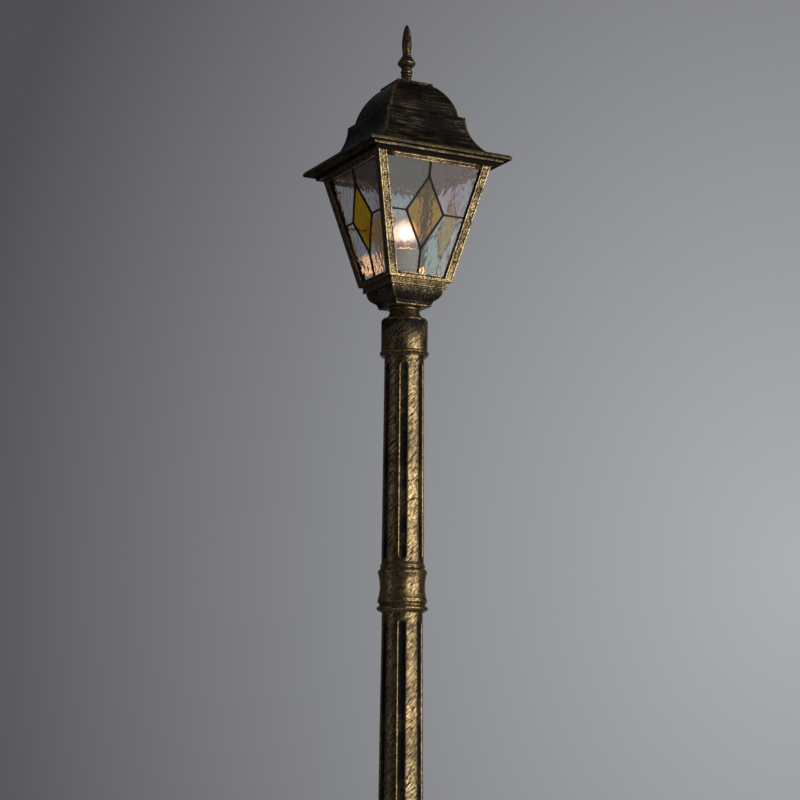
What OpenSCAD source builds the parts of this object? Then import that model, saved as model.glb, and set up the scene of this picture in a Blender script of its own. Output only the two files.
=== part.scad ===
// Garden lantern on a fluted post.
// A square four-sided lantern with leaded glass stands on a post of three tapering
// fluted tubes, joined by turned rings, over a bell-shaped base that bolts to the ground.
// Millimetres, +Z up, origin at the centre of the base's underside. -Y is the front.

/* [Base casting] */
// Height of the base casting, up to the lowest ring
base_h = 232; // [220:1:260]
// Radius of the bell's round plinth
plinth_r = 82; // [78:1:96]
// Thickness of the flange
flange_t = 10; // [8:1:14]
// Wall of the base casting
base_wall = 5.5; // [4:0.5:7]
// Distance from the plinth to the middle of each ground bolt
bolt_gap = 9; // [8:0.5:14]
// Distance from the middle of each ground bolt to the flange's edge
bolt_edge = 14; // [9:0.5:20]
// Radius of each ground bolt's hole
bolt_hole_r = 5; // [3:0.5:6]
// Number of ground bolts
bolt_count = 4; // [3:1:6]

/* [Post] */
// Visible length of the lowest tube
lower_tube_l = 495; // [300:1:700]
// Visible length of the middle tube
middle_tube_l = 495; // [300:1:700]
// Visible length of the top tube
upper_tube_l = 286.7; // [200:0.1:500]
// Top radius of the lowest tube
lower_top_r = 31; // [30:0.1:32]
// Bottom radius of the lowest tube
lower_bottom_r = 35.2; // [34:0.1:36]
// Top radius of the middle tube
middle_top_r = 28; // [27:0.1:29]
// Bottom radius of the middle tube
middle_bottom_r = 32.2; // [31:0.1:33]
// Top radius of the top tube
upper_top_r = 27.6; // [26.5:0.1:28.5]
// Bottom radius of the top tube
upper_bottom_r = 29.2; // [28.5:0.1:30]
// Wall of each tube between its flutes
tube_wall = 5.1; // [4.8:0.1:6]
// Number of flutes round the post
flutes = 6; // [5:1:8]
// Depth of a flute
flute_depth = 3.2; // [2:0.1:3.2]
// Radius of a flute's hollow
flute_r = 7; // [6:0.5:8]
// Angle that the flutes are turned from the front
flute_turn = -28; // [-30:1:30]
// Height of each ring between two tubes
ring_h = 68; // [64:1:80]
// Length of the spigots that each ring pushes into the tubes
spigot_l = 25; // [15:1:40]
// Radius of the cable's way through each ring
ring_bore_r = 15; // [8:1:18]

/* [Collar and cup] */
// Height of the waisted neck between the collar and the cup
neck_h = 14.9; // [13:0.1:20]
// How far the top tube reaches up into the collar
collar_grip = 44; // [25:1:46]
// Wall of the collar round the tube
collar_wall = 4.9; // [4:0.1:7]
// Height of the square cup under the lantern
cup_h = 33.4; // [30:0.1:45]
// Half the width of the cup's foot
cup_foot = 27.9; // [26:0.1:29]
// How far the cup's top band lies inside the frame's foot
band_in = 4.4; // [1:0.1:6]
// How far the cup's body lies inside its top band
body_in = 3.8; // [2:0.1:6]
// Wall of the cup
cup_wall = 3.4; // [2.5:0.1:4]

/* [Lantern frame] */
// Half the width of the frame's foot
frame_foot = 48.6; // [47:0.1:52]
// Half the width of the frame under its top flange
frame_head = 88.2; // [84:0.1:94]
// Height of the sloping sides
frame_h = 163; // [140:1:220]
// Thickness of the frame's bars
frame_t = 3; // [2:0.1:4]
// Width of each corner bar's leg
bar_w = 12.5; // [10:0.5:15]
// Height of the frame's bottom rail
rail_foot = 7; // [5:0.5:10]
// Height of the frame's top rail
rail_head = 6; // [5:0.5:10]
// Thickness of the flange that carries the roof
seat_t = 5.6; // [4:0.1:8]
// How far that flange stands out from the frame
seat_out = 4.4; // [3:0.1:6]

/* [Leaded glass] */
// Thickness of the glass
glass_t = 2.2; // [2:0.1:3]
// Width of a lead came
came_w = 3.2; // [2.4:0.1:5]
// Thickness of the came's flanges
came_flange = 0.8; // [0.5:0.1:1.2]
// Width of the web between two pieces of glass
came_web = 1.2; // [0.8:0.1:1.6]
// Width of the came round each pane's edge
edge_came_w = 3.5; // [2.5:0.1:4.5]
// Half the width of the diamond
diamond_w = 29; // [20:0.5:32]
// Half the height of the diamond
diamond_h = 50; // [35:1:54]
// How far the diamond's centre lies above the middle of the frame
diamond_rise = 9.5; // [0:0.5:14]
// Sideways offset of the hand-laid pattern
pattern_shift = -4; // [-5:0.5:5]

/* [Roof] */
// How far the eaves stand out from the skirt
eave_out = 14; // [8:0.5:24]
// Height of the upright band round the eaves
eave_band = 6.6; // [5:0.1:9]
// Wall of the roof
roof_wall = 3; // [2.5:0.1:4]
// Height of the ledge between flare and dome, above the roof's seat
ledge_z = 65.5; // [60:0.5:67]
// How far the ledge lies inside the eaves
ledge_in = 49; // [46:0.5:56]
// Width of the ledge
ledge_w = 6.4; // [4:0.1:9]
// Radius of the dome's curve
dome_curve = 79; // [76:1:90]
// Half the width of the roof's flat top
cap = 27.5; // [24:0.5:30]
// Thickness of the flat cap on the dome
cap_t = 3.3; // [2.5:0.1:5]
// Depth of the skirt that hangs round the frame's flange
skirt_h = 6.3; // [6:0.1:7]
// Height of the finial
finial_h = 92.5; // [86:0.5:120]

/* [Lamp] */
// Wall of the lamp holder
holder_wall = 4; // [3:0.5:6]
// Height of the lamp holder
holder_h = 52; // [48:1:60]
// Radius of the bulb's globe
globe_r = 22.5; // [20:0.5:26]
// Radius of the bulb's screw cap
bulb_cap_r = 13.2; // [12:0.1:13.3]

/* [Hidden] */
$fn = 96;
fit = 0.15;          // radial clearance of a spigot in its tube
sleeve_fit = 0.3;    // radial clearance of the collar over its tube
glass_fit = 0.2;     // gap between the glass and the frame
eps = 0.01;
arc_steps = 12;

// Base: the flange grows with the plinth and the bolts round it
bolt_circle_r = plinth_r + bolt_gap;
flange_r = bolt_circle_r + bolt_edge;
shaft_foot_z = 78;
shaft_foot_r = plinth_r - 32.3;

// Collar: a sleeve over the tube, a shoulder and the neck
shoulder_h = 11;
collar_h = collar_grip + shoulder_h + neck_h;
collar_r = upper_top_r + sleeve_fit + collar_wall;

// Cup: it steps in under the frame
cup_band = frame_foot - band_in;
cup_body = cup_band - body_in;
cup_round_r = 17.8;
cup_band_h = 8.8;

// Heights of the stack, from the ground up
lower_ring_z = base_h;
lower_tube_z = lower_ring_z + ring_h;
middle_ring_z = lower_tube_z + lower_tube_l;
middle_tube_z = middle_ring_z + ring_h;
upper_ring_z = middle_tube_z + middle_tube_l;
upper_tube_z = upper_ring_z + ring_h;
collar_z = upper_tube_z + upper_tube_l;
cup_z = collar_z + collar_h;
frame_z = cup_z + cup_h;
seat_z = frame_z + frame_h + seat_t;

// Tubes: bores are the outer radius less the wall
base_neck_r = lower_bottom_r - 1;
base_socket_r = base_neck_r - base_wall;

// Flutes stop short of the rings
flute_gap_top = 9;
flute_gap_bottom = 3;

// Slope of the lantern's sides
slope = atan((frame_head - frame_foot) / frame_h);
slope_l = norm([frame_head - frame_foot, frame_h]);
corner_slope = atan(sqrt(2) * (frame_head - frame_foot) / frame_h);
function frame_half(v) = frame_foot + v * (frame_head - frame_foot) / slope_l;

// Leaded glass, measured up the slope from the frame's foot
shelf_t = 3;                       // ledge that the glass stands on
pane_foot = shelf_t + 0.8;
glass_depth = frame_t + glass_fit + came_flange;
came_depth = glass_depth + glass_t + came_flange;
pane_edge_gap = came_depth + 2.8;  // how far a pane's edge stays inside the frame's corner
diamond_v = frame_h / 2 + diamond_rise;
pane_head = slope_l - 0.3 - came_depth * tan(slope);
function pane_half(v) = frame_half(v) - pane_edge_gap;

// Corner clips that hold two panes each
clip_w = 13;
clip_h = 9;
clip_t = 1;
clip_vs = [32, frame_h - 25];
clip_depth = clip_w / 2 + came_depth * sqrt(2) + 0.3;
clip_boss_r = 2.1;
clip_screw_r = 1.2;
clip_head_r = 2.4;
clip_head_h = 1.8;

// Screws that join the cup to the frame
cup_boss_r = 4.4;
cup_boss_at = cup_body - cup_wall - 5;
cup_screw_r = 2;

// Roof
skirt_fit = 0.4;
seat_r = frame_head + seat_out;
skirt_in = seat_r + skirt_fit;
skirt_out = skirt_in + 3;
roof_mouth = seat_r - 4.6;
eave = skirt_out + eave_out;
soffit_in = eave - 3;
soffit_up = 2.6;
lip_z = 0.8;                                     // the band's lower edge, above the seat
ledge = eave - ledge_in;
dome_foot = ledge - ledge_w;
flare_curve = 74;
flare_mid = [ledge + 74.5, ledge_z + 2.7];       // centre of the flare's curve
flare_end = eave - 26;
flare_end_z = flare_mid[1] - sqrt(pow(flare_curve, 2) - pow(flare_mid[0] - flare_end, 2));
dome_mid = [dome_foot - sqrt(pow(dome_curve, 2) - pow(7.5, 2)), ledge_z - 6];
dome_rise = dome_mid[1] - ledge_z + sqrt(pow(dome_curve, 2) - pow(cap - dome_mid[0], 2)) + cap_t;
cap_z = seat_z + ledge_z + dome_rise;
roof_screw_r = 2;
roof_screw_z = seat_z - 3;
roof_screw_head_r = 3.8;
roof_screw_head_h = 2.6;
roof_screw_reach = 0.3;                          // gap between the screw's tip and the flange

// Finial
finial_stud_r = 2.8;
finial_stud_l = 17;
finial_nut_af = 10;
finial_nut_h = 5;
finial_washer_h = 1.2;

// Lamp: everything stands on one hollow threaded stem
stem_r = 5;
stem_bore_r = 3.5;
stem_hole_r = stem_r + 0.2;
stem_nut_af = 17;
stem_nut_h = 5;
neck_floor = 7.6;                                // thickness of the wall under the cup
cup_floor = 5.4;
spacer_r = 8;
holder_drop = 2;                                 // how far the holder's foot sinks in the cup
spacer_l = cup_h - cup_floor - stem_nut_h - holder_drop;
stem_below = stem_nut_h + 4;
stem_above = 5;                                  // how far the stem enters the holder
holder_z = cup_z + cup_floor + stem_nut_h + spacer_l;
shell_wall = 1;
shell_fit = 0.2;
cap_fit = 0.6;                                   // room for the bulb's thread in the shell
holder_bore_r = bulb_cap_r + cap_fit + shell_wall + shell_fit;
holder_bore_l = 28;
holder_r = holder_bore_r + holder_wall;
shell_l = 25;
contact_h = 3.6;
bulb_z = holder_z + holder_h - holder_bore_l + contact_h;
bulb_cap_l = 24.5;
bulb_wall = 0.9;
globe_z = bulb_z + bulb_cap_l + globe_r + 2.5;
neck_r = bulb_cap_r - 1.6;

// Cable inside the post, and what it ends in
cable_r = 3.2;
cable_sides = 12;
block_size = [30, 16, 20];
block_z = 74;
lug_size = [30, 12, 26];
lug_z = 100;
lug_y = round(base_shaft(lug_z + lug_size[2]) - base_wall - 4.8);
bracket_t = 1.6;
bracket_l = 56;
small_screw_r = 1.6;
small_head_r = 3.4;
small_head_h = 2.2;
pole_pitch = 9;
block_y = lug_y - bracket_t - block_size[1];
cable_top = holder_z - 0.1;
cable_route = [
    [0, block_y + 8, block_z + 20], [0, block_y + 8, block_z + 34], [0, 17, 124],
    [0, 12, 138], [0, 6, 154], [0, 2, 170], [0, 0, 190], [0, 0, 700], [0, 0, 1300], [0, 0, cable_top]
];

bronze = [0.28, 0.22, 0.13];
lead = [0.12, 0.12, 0.12];
clear = [0.80, 0.86, 0.86, 0.35];
amber = [0.85, 0.56, 0.12, 0.6];
brass = [0.80, 0.65, 0.35];
steel = [0.65, 0.65, 0.66];

SIDES = ["front", "right", "back", "left"];

// ---------- outlines ----------

// Points of an arc about [r, z], from angle a to angle b
function arc(r, z, radius, a, b, steps = arc_steps) =
    [for (i = [0:steps]) let (t = a + (b - a) * i / steps) [r + radius * cos(t), z + radius * sin(t)]];

// Outline of a square turned piece: the same half-widths on both sides of the middle
function both_sides(half) = concat(half, [for (i = [len(half) - 1:-1:0]) [-half[i][0], half[i][1]]]);

// A solid whose level sections are squares of the outline's width
module square_turned(half) {
    reach = 2 * eave + 20;
    intersection() {
        rotate([90, 0, 0]) linear_extrude(reach, center = true) polygon(both_sides(half));
        rotate([90, 0, 90]) linear_extrude(reach, center = true) polygon(both_sides(half));
    }
}

module turned(points) {
    rotate_extrude() polygon(points);
}

module hex_nut(across_flats, h, bore_r) {
    difference() {
        cylinder(h = h, r = across_flats / sqrt(3), $fn = 6);
        translate([0, 0, -1]) cylinder(h = h + 2, r = bore_r);
    }
}

// ---------- base ----------

// Radius of the bell's concave shaft at a height
function base_shaft(z) = let (neck = base_neck_r + 1.5, top_z = base_h - 42)
    neck + (shaft_foot_r - neck) * pow((top_z - z) / (top_z - shaft_foot_z), 2);

module base_casting() {
    shaft_zs = [for (i = [0:10]) shaft_foot_z + i * (base_h - 42 - shaft_foot_z) / 10];
    outside = concat(
        [[0, 0], [flange_r, 0], [flange_r, flange_t - 2.5], [flange_r - 2.5, flange_t],
         [plinth_r, flange_t], [plinth_r, flange_t + 6]],
        arc(plinth_r - 8, flange_t + 14, 8, -90, 90),
        arc(plinth_r - 6, flange_t + 56, 28, 260, 185),
        arc(plinth_r - 34, flange_t + 59.5, 5, -80, 80),
        [for (z = shaft_zs) [base_shaft(z), z]],
        [[base_neck_r + 1.5, base_h - 36]],
        arc(base_neck_r + 2.5, base_h - 31, 5, -90, 90),
        [[base_neck_r + 0.6, base_h - 25], [base_neck_r, base_h - 22], [base_neck_r, base_h], [0, base_h]]);
    inside = concat(
        [[0, -1], [plinth_r - 12, -1], [plinth_r - 12, flange_t + 5], [plinth_r - 16, flange_t + 20],
         [plinth_r - 24, flange_t + 30], [plinth_r - 38, flange_t + 52]],
        [for (z = shaft_zs) if (z > flange_t + 80) [base_shaft(z) - base_wall, z]],
        [[base_socket_r - 1, base_h - spigot_l - 9], [base_socket_r - 1, base_h - spigot_l - 2],
         [base_socket_r, base_h - spigot_l - 2], [base_socket_r, base_h + 1], [0, base_h + 1]]);
    color(bronze) difference() {
        turned(outside);
        difference() {
            turned(inside);
            translate([-lug_size[0] / 2, lug_y, lug_z]) cube(lug_size);
        }
        for (i = [0:bolt_count - 1]) rotate([0, 0, 45 + i * 360 / bolt_count])
            translate([bolt_circle_r, 0, -1]) cylinder(h = flange_t + 2, r = bolt_hole_r);
        for (x = [-8, 0, 8]) translate([x, lug_y - 1, x == 0 ? lug_z + 5 : lug_z + 13])
            rotate([-90, 0, 0]) cylinder(h = 8, r = small_screw_r + 0.05);
    }
}

// ---------- rings between the tubes ----------

// The drawn-in waist of a ring, between its two beads
function slim_waist(h) =
    let (waist_r = 60, waist_a = asin((h - 32) / 2 / waist_r))
    concat(
        [[2.4, 9.5], [2.4, 11.5]],
        arc(2.9, 15, 2, -60, 25, 5),
        arc(1.9 + waist_r, h / 2 + 2, waist_r, 180 + waist_a, 180 - waist_a, 12),
        arc(2.8, h - 12.2, 2, -25, 65, 5),
        [[2, h - 8.6], [1.2, h - 7.8], [1.2, h - 6.8]]);

// The fuller waist of the lowest ring, which carries the whole post
function full_waist(h) =
    let (waist_r = 93.8, waist_a = asin((h - 38.65) / 2 / waist_r))
    concat(
        [[4, 9.6], [4, 11.6]],
        arc(3.1, 15, 2.2, -60, 70, 6),
        arc(3.2 + waist_r, h / 2 + 1, waist_r, 180 + waist_a, 180 - waist_a, 10),
        arc(2.85, h - 14.6, 2, -50, 70, 6),
        [[2, h - 9.4], [1, h - 8.4], [1, h - 7]]);

// Outline of the turned ring: its radii are those of the tube that stands on it, and more
function ring_outline(tube_r, foot_r, h, waist) =
    concat([[0, 0], [foot_r, 0]], [for (p = concat(
        arc(3.2, 5.6, 3, -70, 80, 8),
        waist,
        arc(-0.4, h - 4.6, 2.2, -45, 45, 6),
        [[0.1, h]]))
    [p[0] + tube_r, p[1]]], [[0, h]]);

// A ring with a spigot up into one tube and a spigot down into the socket below
module tube_ring(z, tube_r, foot_r, socket_r, waist) {
    color(bronze) translate([0, 0, z]) difference() {
        union() {
            turned(ring_outline(tube_r, foot_r, ring_h, waist));
            translate([0, 0, -spigot_l]) cylinder(h = spigot_l + 1, r = socket_r - fit);
            cylinder(h = ring_h + spigot_l, r = tube_r - tube_wall - fit);
        }
        translate([0, 0, -spigot_l - 1]) cylinder(h = ring_h + 2 * spigot_l + 2, r = ring_bore_r);
    }
}

// ---------- tubes ----------

// One flute: a long hollow with round ends, leaning with the tube's taper
module flute(bottom_r, top_r, z0, z1) {
    lean = atan((bottom_r - top_r) / (z1 - z0));
    length = norm([bottom_r - top_r, z1 - z0]);
    translate([bottom_r - flute_depth + flute_r, 0, z0]) rotate([0, -lean, 0])
        rotate_extrude() polygon(concat([[0, 0]],
            arc(0, flute_r, flute_r, -80, 0, 8),
            arc(0, length - flute_r, flute_r, 0, 80, 8), [[0, length]]));
}

// A tapering fluted tube, with a straight sleeve on top where tail is more than nothing
module fluted_tube(z, length, bottom_r, top_r, tail = 0) {
    bottom_bore = bottom_r - tube_wall;
    top_bore = top_r - tube_wall;
    per_mm = (bottom_r - top_r) / length;
    foot_z = flute_gap_bottom;
    head_z = length - flute_gap_top;
    color(bronze) translate([0, 0, z]) rotate([0, 0, flute_turn - 90]) difference() {
        turned([[bottom_bore, 0], [bottom_r, 0], [top_r, length], [top_r, length + tail],
            [top_bore, length + tail], [top_bore, length - spigot_l - 1],
            [bottom_bore, spigot_l + 1]]);
        for (i = [0:flutes - 1]) rotate([0, 0, i * 360 / flutes])
            flute(bottom_r - per_mm * foot_z, bottom_r - per_mm * head_z, foot_z, head_z);
    }
}

// ---------- collar ----------

grub_angles = [35, 97];

module lantern_collar() {
    bore_r = upper_top_r + sleeve_fit;
    shoulder_z = collar_grip + shoulder_h;
    color(bronze) translate([0, 0, collar_z]) difference() {
        turned(concat(
            [[bore_r, 0], [collar_r - 1.2, 0]],
            arc(collar_r - 0.9, 5, 2.6, -70, 80, 8),
            [[collar_r - 0.2, 8.4], [collar_r - 0.3, shoulder_z - 4], [collar_r - 1.4, shoulder_z - 1.8],
             [25.2, shoulder_z], [22.6, collar_h - 10.4], [20.8, collar_h - 6.4], [20.6, collar_h - 5.2]],
            arc(20.2, collar_h - 2.6, 2.4, -70, 85, 6),
            [[stem_hole_r, collar_h], [stem_hole_r, collar_h - neck_floor],
             [16, collar_h - neck_floor], [16, collar_grip], [bore_r, collar_grip]]));
        for (a = grub_angles) rotate([0, 0, a]) translate([bore_r - 2, 0, 24]) rotate([0, 90, 0])
            cylinder(h = 12, r = 2.5);
    }
}

module collar_grub_screws() {
    tip = upper_top_r + 0.1;
    color(steel) for (a = grub_angles) rotate([0, 0, a]) translate([tip, 0, collar_z + 24])
        rotate([0, 90, 0]) difference() {
            cylinder(h = 4.8, r = 2.45);
            translate([0, 0, 2.8]) cylinder(h = 3, r = 1.4, $fn = 6);
        }
}

// ---------- cup under the lantern ----------

module lantern_cup() {
    foot_t = 2.8;
    band_z = cup_h - cup_band_h;
    round_x = cup_body - cup_round_r;
    outside = concat(
        [[cup_foot - 1, 0], [cup_foot, 1], [cup_foot, foot_t]],
        arc(round_x, band_z - 0.6, cup_round_r, -65, 0),
        [[cup_body, band_z], [cup_band, band_z], [cup_band, cup_h]]);
    inside = concat(
        [[cup_foot - cup_wall, cup_floor]],
        arc(round_x, band_z, cup_round_r - cup_wall, -60, 0, 8),
        [[cup_body - cup_wall, cup_h + 1]]);
    color(bronze) translate([0, 0, cup_z]) difference() {
        union() {
            difference() {
                square_turned(outside);
                square_turned(inside);
            }
            for (x = [-1, 1], y = [-1, 1]) translate([x * cup_boss_at, y * cup_boss_at, cup_h - 12])
                cylinder(h = 12, r = cup_boss_r);
        }
        translate([0, 0, -1]) cylinder(h = cup_floor + 2, r = stem_hole_r);
        for (x = [-1, 1], y = [-1, 1]) translate([x * cup_boss_at, y * cup_boss_at, cup_h - 9])
            cylinder(h = 10, r = cup_screw_r + 0.05);
    }
}

module cup_screws() {
    color(steel) for (x = [-1, 1], y = [-1, 1]) translate([x * cup_boss_at, y * cup_boss_at, frame_z]) {
        translate([0, 0, -8]) cylinder(h = shelf_t + 8 + eps, r = cup_screw_r);
        translate([0, 0, shelf_t]) cylinder(h = 2.2, r = 3.6);
    }
}

// ---------- lantern frame ----------

function frame_outline(inset) = [[frame_foot - inset, 0], [frame_head - inset, frame_h]];

// Puts a child on a sloping side: x across, y up the slope, z out of the lantern
module on_side(k) {
    rotate([0, 0, 90 * k]) translate([0, -frame_foot, frame_z]) rotate([90 + slope, 0, 0]) children();
}

// Puts a child on a corner bar: x out of the corner, z up the bar
module on_corner(k, v) {
    rotate([0, 0, 45 + 90 * k])
        translate([sqrt(2) * frame_half(v), 0, frame_z + v * cos(slope)])
            rotate([0, corner_slope, 0]) children();
}

module lantern_frame() {
    inset = frame_t / cos(slope);
    foot_v = rail_foot;
    head_v = frame_h - rail_head;
    side_gain = (frame_head - frame_foot) / frame_h;
    window = both_sides([[frame_foot + foot_v * side_gain - bar_w, foot_v],
                         [frame_foot + head_v * side_gain - bar_w, head_v]]);
    reach = 2 * frame_head + 20;
    color(bronze) difference() {
        union() {
            translate([0, 0, frame_z]) {
                difference() {
                    square_turned(frame_outline(0));
                    square_turned([[frame_foot - inset + side_gain * shelf_t, shelf_t],
                        [frame_head - inset + side_gain * 2, frame_h + 2]]);
                    translate([0, 0, -1]) linear_extrude(shelf_t + 2)
                        square(2 * cup_boss_at, center = true);
                    rotate([90, 0, 0]) linear_extrude(reach, center = true) polygon(window);
                    rotate([90, 0, 90]) linear_extrude(reach, center = true) polygon(window);
                }
                translate([0, 0, frame_h]) linear_extrude(seat_t) difference() {
                    square(2 * seat_r, center = true);
                    square(2 * (frame_head - 9), center = true);
                }
            }
            for (k = [0:3], v = clip_vs) on_corner(k, v)
                translate([-clip_depth, 0, 0]) rotate([0, 90, 0])
                    cylinder(h = clip_depth - 2, r = clip_boss_r);
        }
        for (k = [0:3], v = clip_vs) on_corner(k, v)
            translate([-clip_depth - 1, 0, 0]) rotate([0, 90, 0]) cylinder(h = 7, r = clip_screw_r + 0.05);
        for (x = [-1, 1], y = [-1, 1]) translate([x * cup_boss_at, y * cup_boss_at, frame_z - 1])
            cylinder(h = shelf_t + 2, r = cup_screw_r + 0.2);
    }
}

module pane_clips() {
    color(brass) for (k = [0:3], v = clip_vs) on_corner(k, v)
        translate([-clip_depth - clip_t, 0, 0]) difference() {
            translate([0, -clip_w / 2, -clip_h / 2]) cube([clip_t, clip_w, clip_h]);
            translate([-1, 0, 0]) rotate([0, 90, 0]) cylinder(h = clip_t + 2, r = clip_screw_r + 0.2);
        }
}

module clip_screws() {
    color(steel) for (k = [0:3], v = clip_vs) on_corner(k, v)
        translate([-clip_depth - clip_t, 0, 0]) {
            rotate([0, -90, 0]) cylinder(h = clip_head_h, r = clip_head_r);
            translate([-eps, 0, 0]) rotate([0, 90, 0]) cylinder(h = clip_t + 5, r = clip_screw_r);
        }
}

// ---------- leaded glass ----------

diamond = [[0, diamond_v + diamond_h], [diamond_w, diamond_v],
           [0, diamond_v - diamond_h], [-diamond_w, diamond_v]];

// A straight strip of the given width from one point to another
module strip(from, to, width) {
    along = to - from;
    translate(from) rotate([0, 0, atan2(along[1], along[0])])
        translate([-width / 3, -width / 2]) square([norm(along) + 2 * width / 3, width]);
}

// The leaded pattern: a diamond and four rays from its points to the pane's edges
module lattice(width) {
    for (i = [0:3]) strip(diamond[i], diamond[(i + 1) % 4], width);
    strip(diamond[0], [0, pane_head + 5], width);
    strip(diamond[1], [frame_head, diamond_v], width);
    strip(diamond[2], [0, pane_foot - 5], width);
    strip(diamond[3], [-frame_head, diamond_v], width);
}

// A pane's outline, drawn in from its edge on all sides
module pane_outline(inset = 0) {
    low = pane_foot + inset;
    high = pane_head - inset;
    side = inset * 1.03;
    polygon([[side - pane_half(low), low], [pane_half(low) - side, low],
             [pane_half(high) - side, high], [side - pane_half(high), high]]);
}

// One level of a came: the pattern and the border, each as wide as that level
module came_level(width, edge) {
    intersection() {
        translate([pattern_shift, 0]) lattice(width);
        pane_outline();
    }
    difference() {
        pane_outline();
        pane_outline(edge);
    }
}

module came(k) {
    color(lead) on_side(k) translate([0, 0, -came_depth]) {
        linear_extrude(came_flange) came_level(came_w, edge_came_w);
        linear_extrude(came_depth - glass_depth + came_flange) came_level(came_web, came_web);
        translate([0, 0, came_flange + glass_t])
            linear_extrude(came_flange) came_level(came_w, edge_came_w);
    }
}

module clear_glass(k) {
    color(clear) on_side(k) translate([0, 0, -glass_depth - glass_t + 0.05]) linear_extrude(glass_t - 0.1)
        difference() {
            pane_outline(came_web + 0.1);
            translate([pattern_shift, 0]) {
                lattice(came_web + 0.2);
                polygon(diamond);
            }
        }
}

module amber_glass(k) {
    color(amber) on_side(k) translate([pattern_shift, 0, -glass_depth - glass_t + 0.05])
        linear_extrude(glass_t - 0.1) difference() {
            polygon(diamond);
            lattice(came_web + 0.2);
        }
}

// ---------- roof ----------

function roof_outside() = concat(
    [[skirt_out, -skirt_h], [skirt_out, lip_z], [eave, lip_z], [eave, lip_z + eave_band]],
    [for (i = [0:arc_steps]) let (x = flare_end - (flare_end - ledge - 0.5) * sin(90 * i / arc_steps))
        [x, flare_mid[1] - sqrt(pow(flare_curve, 2) - pow(flare_mid[0] - x, 2))]],
    [[ledge, ledge_z - 0.6], [dome_foot, ledge_z + 1]],
    [for (i = [1:arc_steps]) let (x = dome_foot - (dome_foot - cap) * (1 - cos(90 * i / arc_steps)))
        [x, dome_mid[1] + sqrt(pow(dome_curve, 2) - pow(x - dome_mid[0], 2))]],
    [[cap + 0.4, dome_rise + ledge_z - cap_t], [cap + 0.4, dome_rise + ledge_z - 0.8],
     [cap - 0.4, dome_rise + ledge_z]]);

function roof_inside() = concat(
    [[skirt_in, -skirt_h - 1], [skirt_in, 0], [roof_mouth, 0], [roof_mouth, lip_z + eave_band - 0.6]],
    [for (i = [0:8]) let (x = flare_end - 2 - (flare_end - 2 - ledge + roof_wall - 1) * sin(90 * i / 8))
        [x, flare_mid[1] - sqrt(pow(flare_curve + roof_wall, 2) - pow(flare_mid[0] - x, 2))]],
    [[ledge - roof_wall, ledge_z - 4.6], [dome_foot - roof_wall - 0.6, ledge_z - 3.4]],
    [for (i = [1:8]) let (x = dome_foot - roof_wall - 0.6 - (dome_foot - cap - 1) * (1 - cos(90 * i / 8)))
        [x, dome_mid[1] + sqrt(pow(dome_curve - roof_wall, 2) - pow(x - dome_mid[0], 2)) - 0.4]]);

module roof_shell() {
    color(bronze) difference() {
        translate([0, 0, seat_z]) difference() {
            square_turned(roof_outside());
            square_turned(roof_inside());
            translate([0, 0, lip_z - 1]) linear_extrude(1 + soffit_up) difference() {
                square(2 * soffit_in, center = true);
                square(2 * skirt_out, center = true);
            }
            translate([0, 0, ledge_z]) cylinder(h = dome_rise + 10, r = finial_stud_r + 0.2);
        }
        for (side = [0, 180]) rotate([0, 0, side]) translate([skirt_in - 2, 0, roof_screw_z])
            rotate([0, 90, 0]) cylinder(h = 7, r = roof_screw_r + 0.2);
    }
}

module roof_screw(side) {
    tip = seat_r + roof_screw_reach;
    color(steel) rotate([0, 0, side]) translate([tip, 0, roof_screw_z]) rotate([0, 90, 0]) difference() {
        union() {
            cylinder(h = skirt_out - tip + 0.5, r = roof_screw_r);
            translate([0, 0, skirt_out - tip + 0.1]) cylinder(h = roof_screw_head_h, r = roof_screw_head_r);
        }
        translate([-5, -0.5, skirt_out - tip + roof_screw_head_h - 1]) cube([10, 1, 3]);
    }
}

roof_top_in = ledge_z + dome_rise - cap_t - roof_wall - 0.4;

module finial() {
    color(bronze) translate([0, 0, cap_z + 0.1]) union() {
        turned(concat(
            [[0, 0], [8.6, 0], [8.6, 2], [7.2, 4], [6.9, 9]],
            arc(5.6, 20.8, 3, -60, 60, 6),
            [[7, 25.5], [7.4, 27.4], [11.2, 30.4], [12.9, 32.8], [13.1, 34.4], [12.2, 36.2],
             [9.2, 40.2], [7.2, 44]],
            arc(4.9, 47, 1.4, -60, 60, 4),
            [[5.9, 50.4]],
            [for (i = [0:14]) let (t = sin(90 * i / 14))
                [0.4 + 6.8 * pow(1 - pow(t, 2.4), 0.62) * (0.86 + 0.14 * sin(90 * min(t / 0.3, 1))),
                 52.3 + (finial_h - 52.6) * t]],
            [[0, finial_h - 0.1]]));
        translate([0, 0, -finial_stud_l]) cylinder(h = finial_stud_l + 1, r = finial_stud_r);
    }
}

module finial_washer() {
    color(steel) translate([0, 0, seat_z + roof_top_in - finial_washer_h - 0.1]) difference() {
        cylinder(h = finial_washer_h, r = 8);
        translate([0, 0, -1]) cylinder(h = finial_washer_h + 2, r = finial_stud_r + 0.3);
    }
}

module finial_nut() {
    color(steel) translate([0, 0, seat_z + roof_top_in - finial_washer_h - 0.1 - finial_nut_h])
        hex_nut(finial_nut_af, finial_nut_h, finial_stud_r + 0.2);
}

// ---------- lamp ----------

module threaded_stem() {
    foot = cup_z - neck_floor - stem_below;
    color(steel) translate([0, 0, foot]) difference() {
        cylinder(h = holder_z + stem_above - foot, r = stem_r);
        translate([0, 0, -1]) cylinder(h = 200, r = stem_bore_r);
    }
}

module stem_nuts() {
    color(steel) {
        translate([0, 0, cup_z - neck_floor - stem_nut_h]) hex_nut(stem_nut_af, stem_nut_h, stem_r + 0.05);
        translate([0, 0, cup_z + cup_floor]) hex_nut(stem_nut_af, stem_nut_h, stem_r + 0.05);
    }
}

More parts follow.
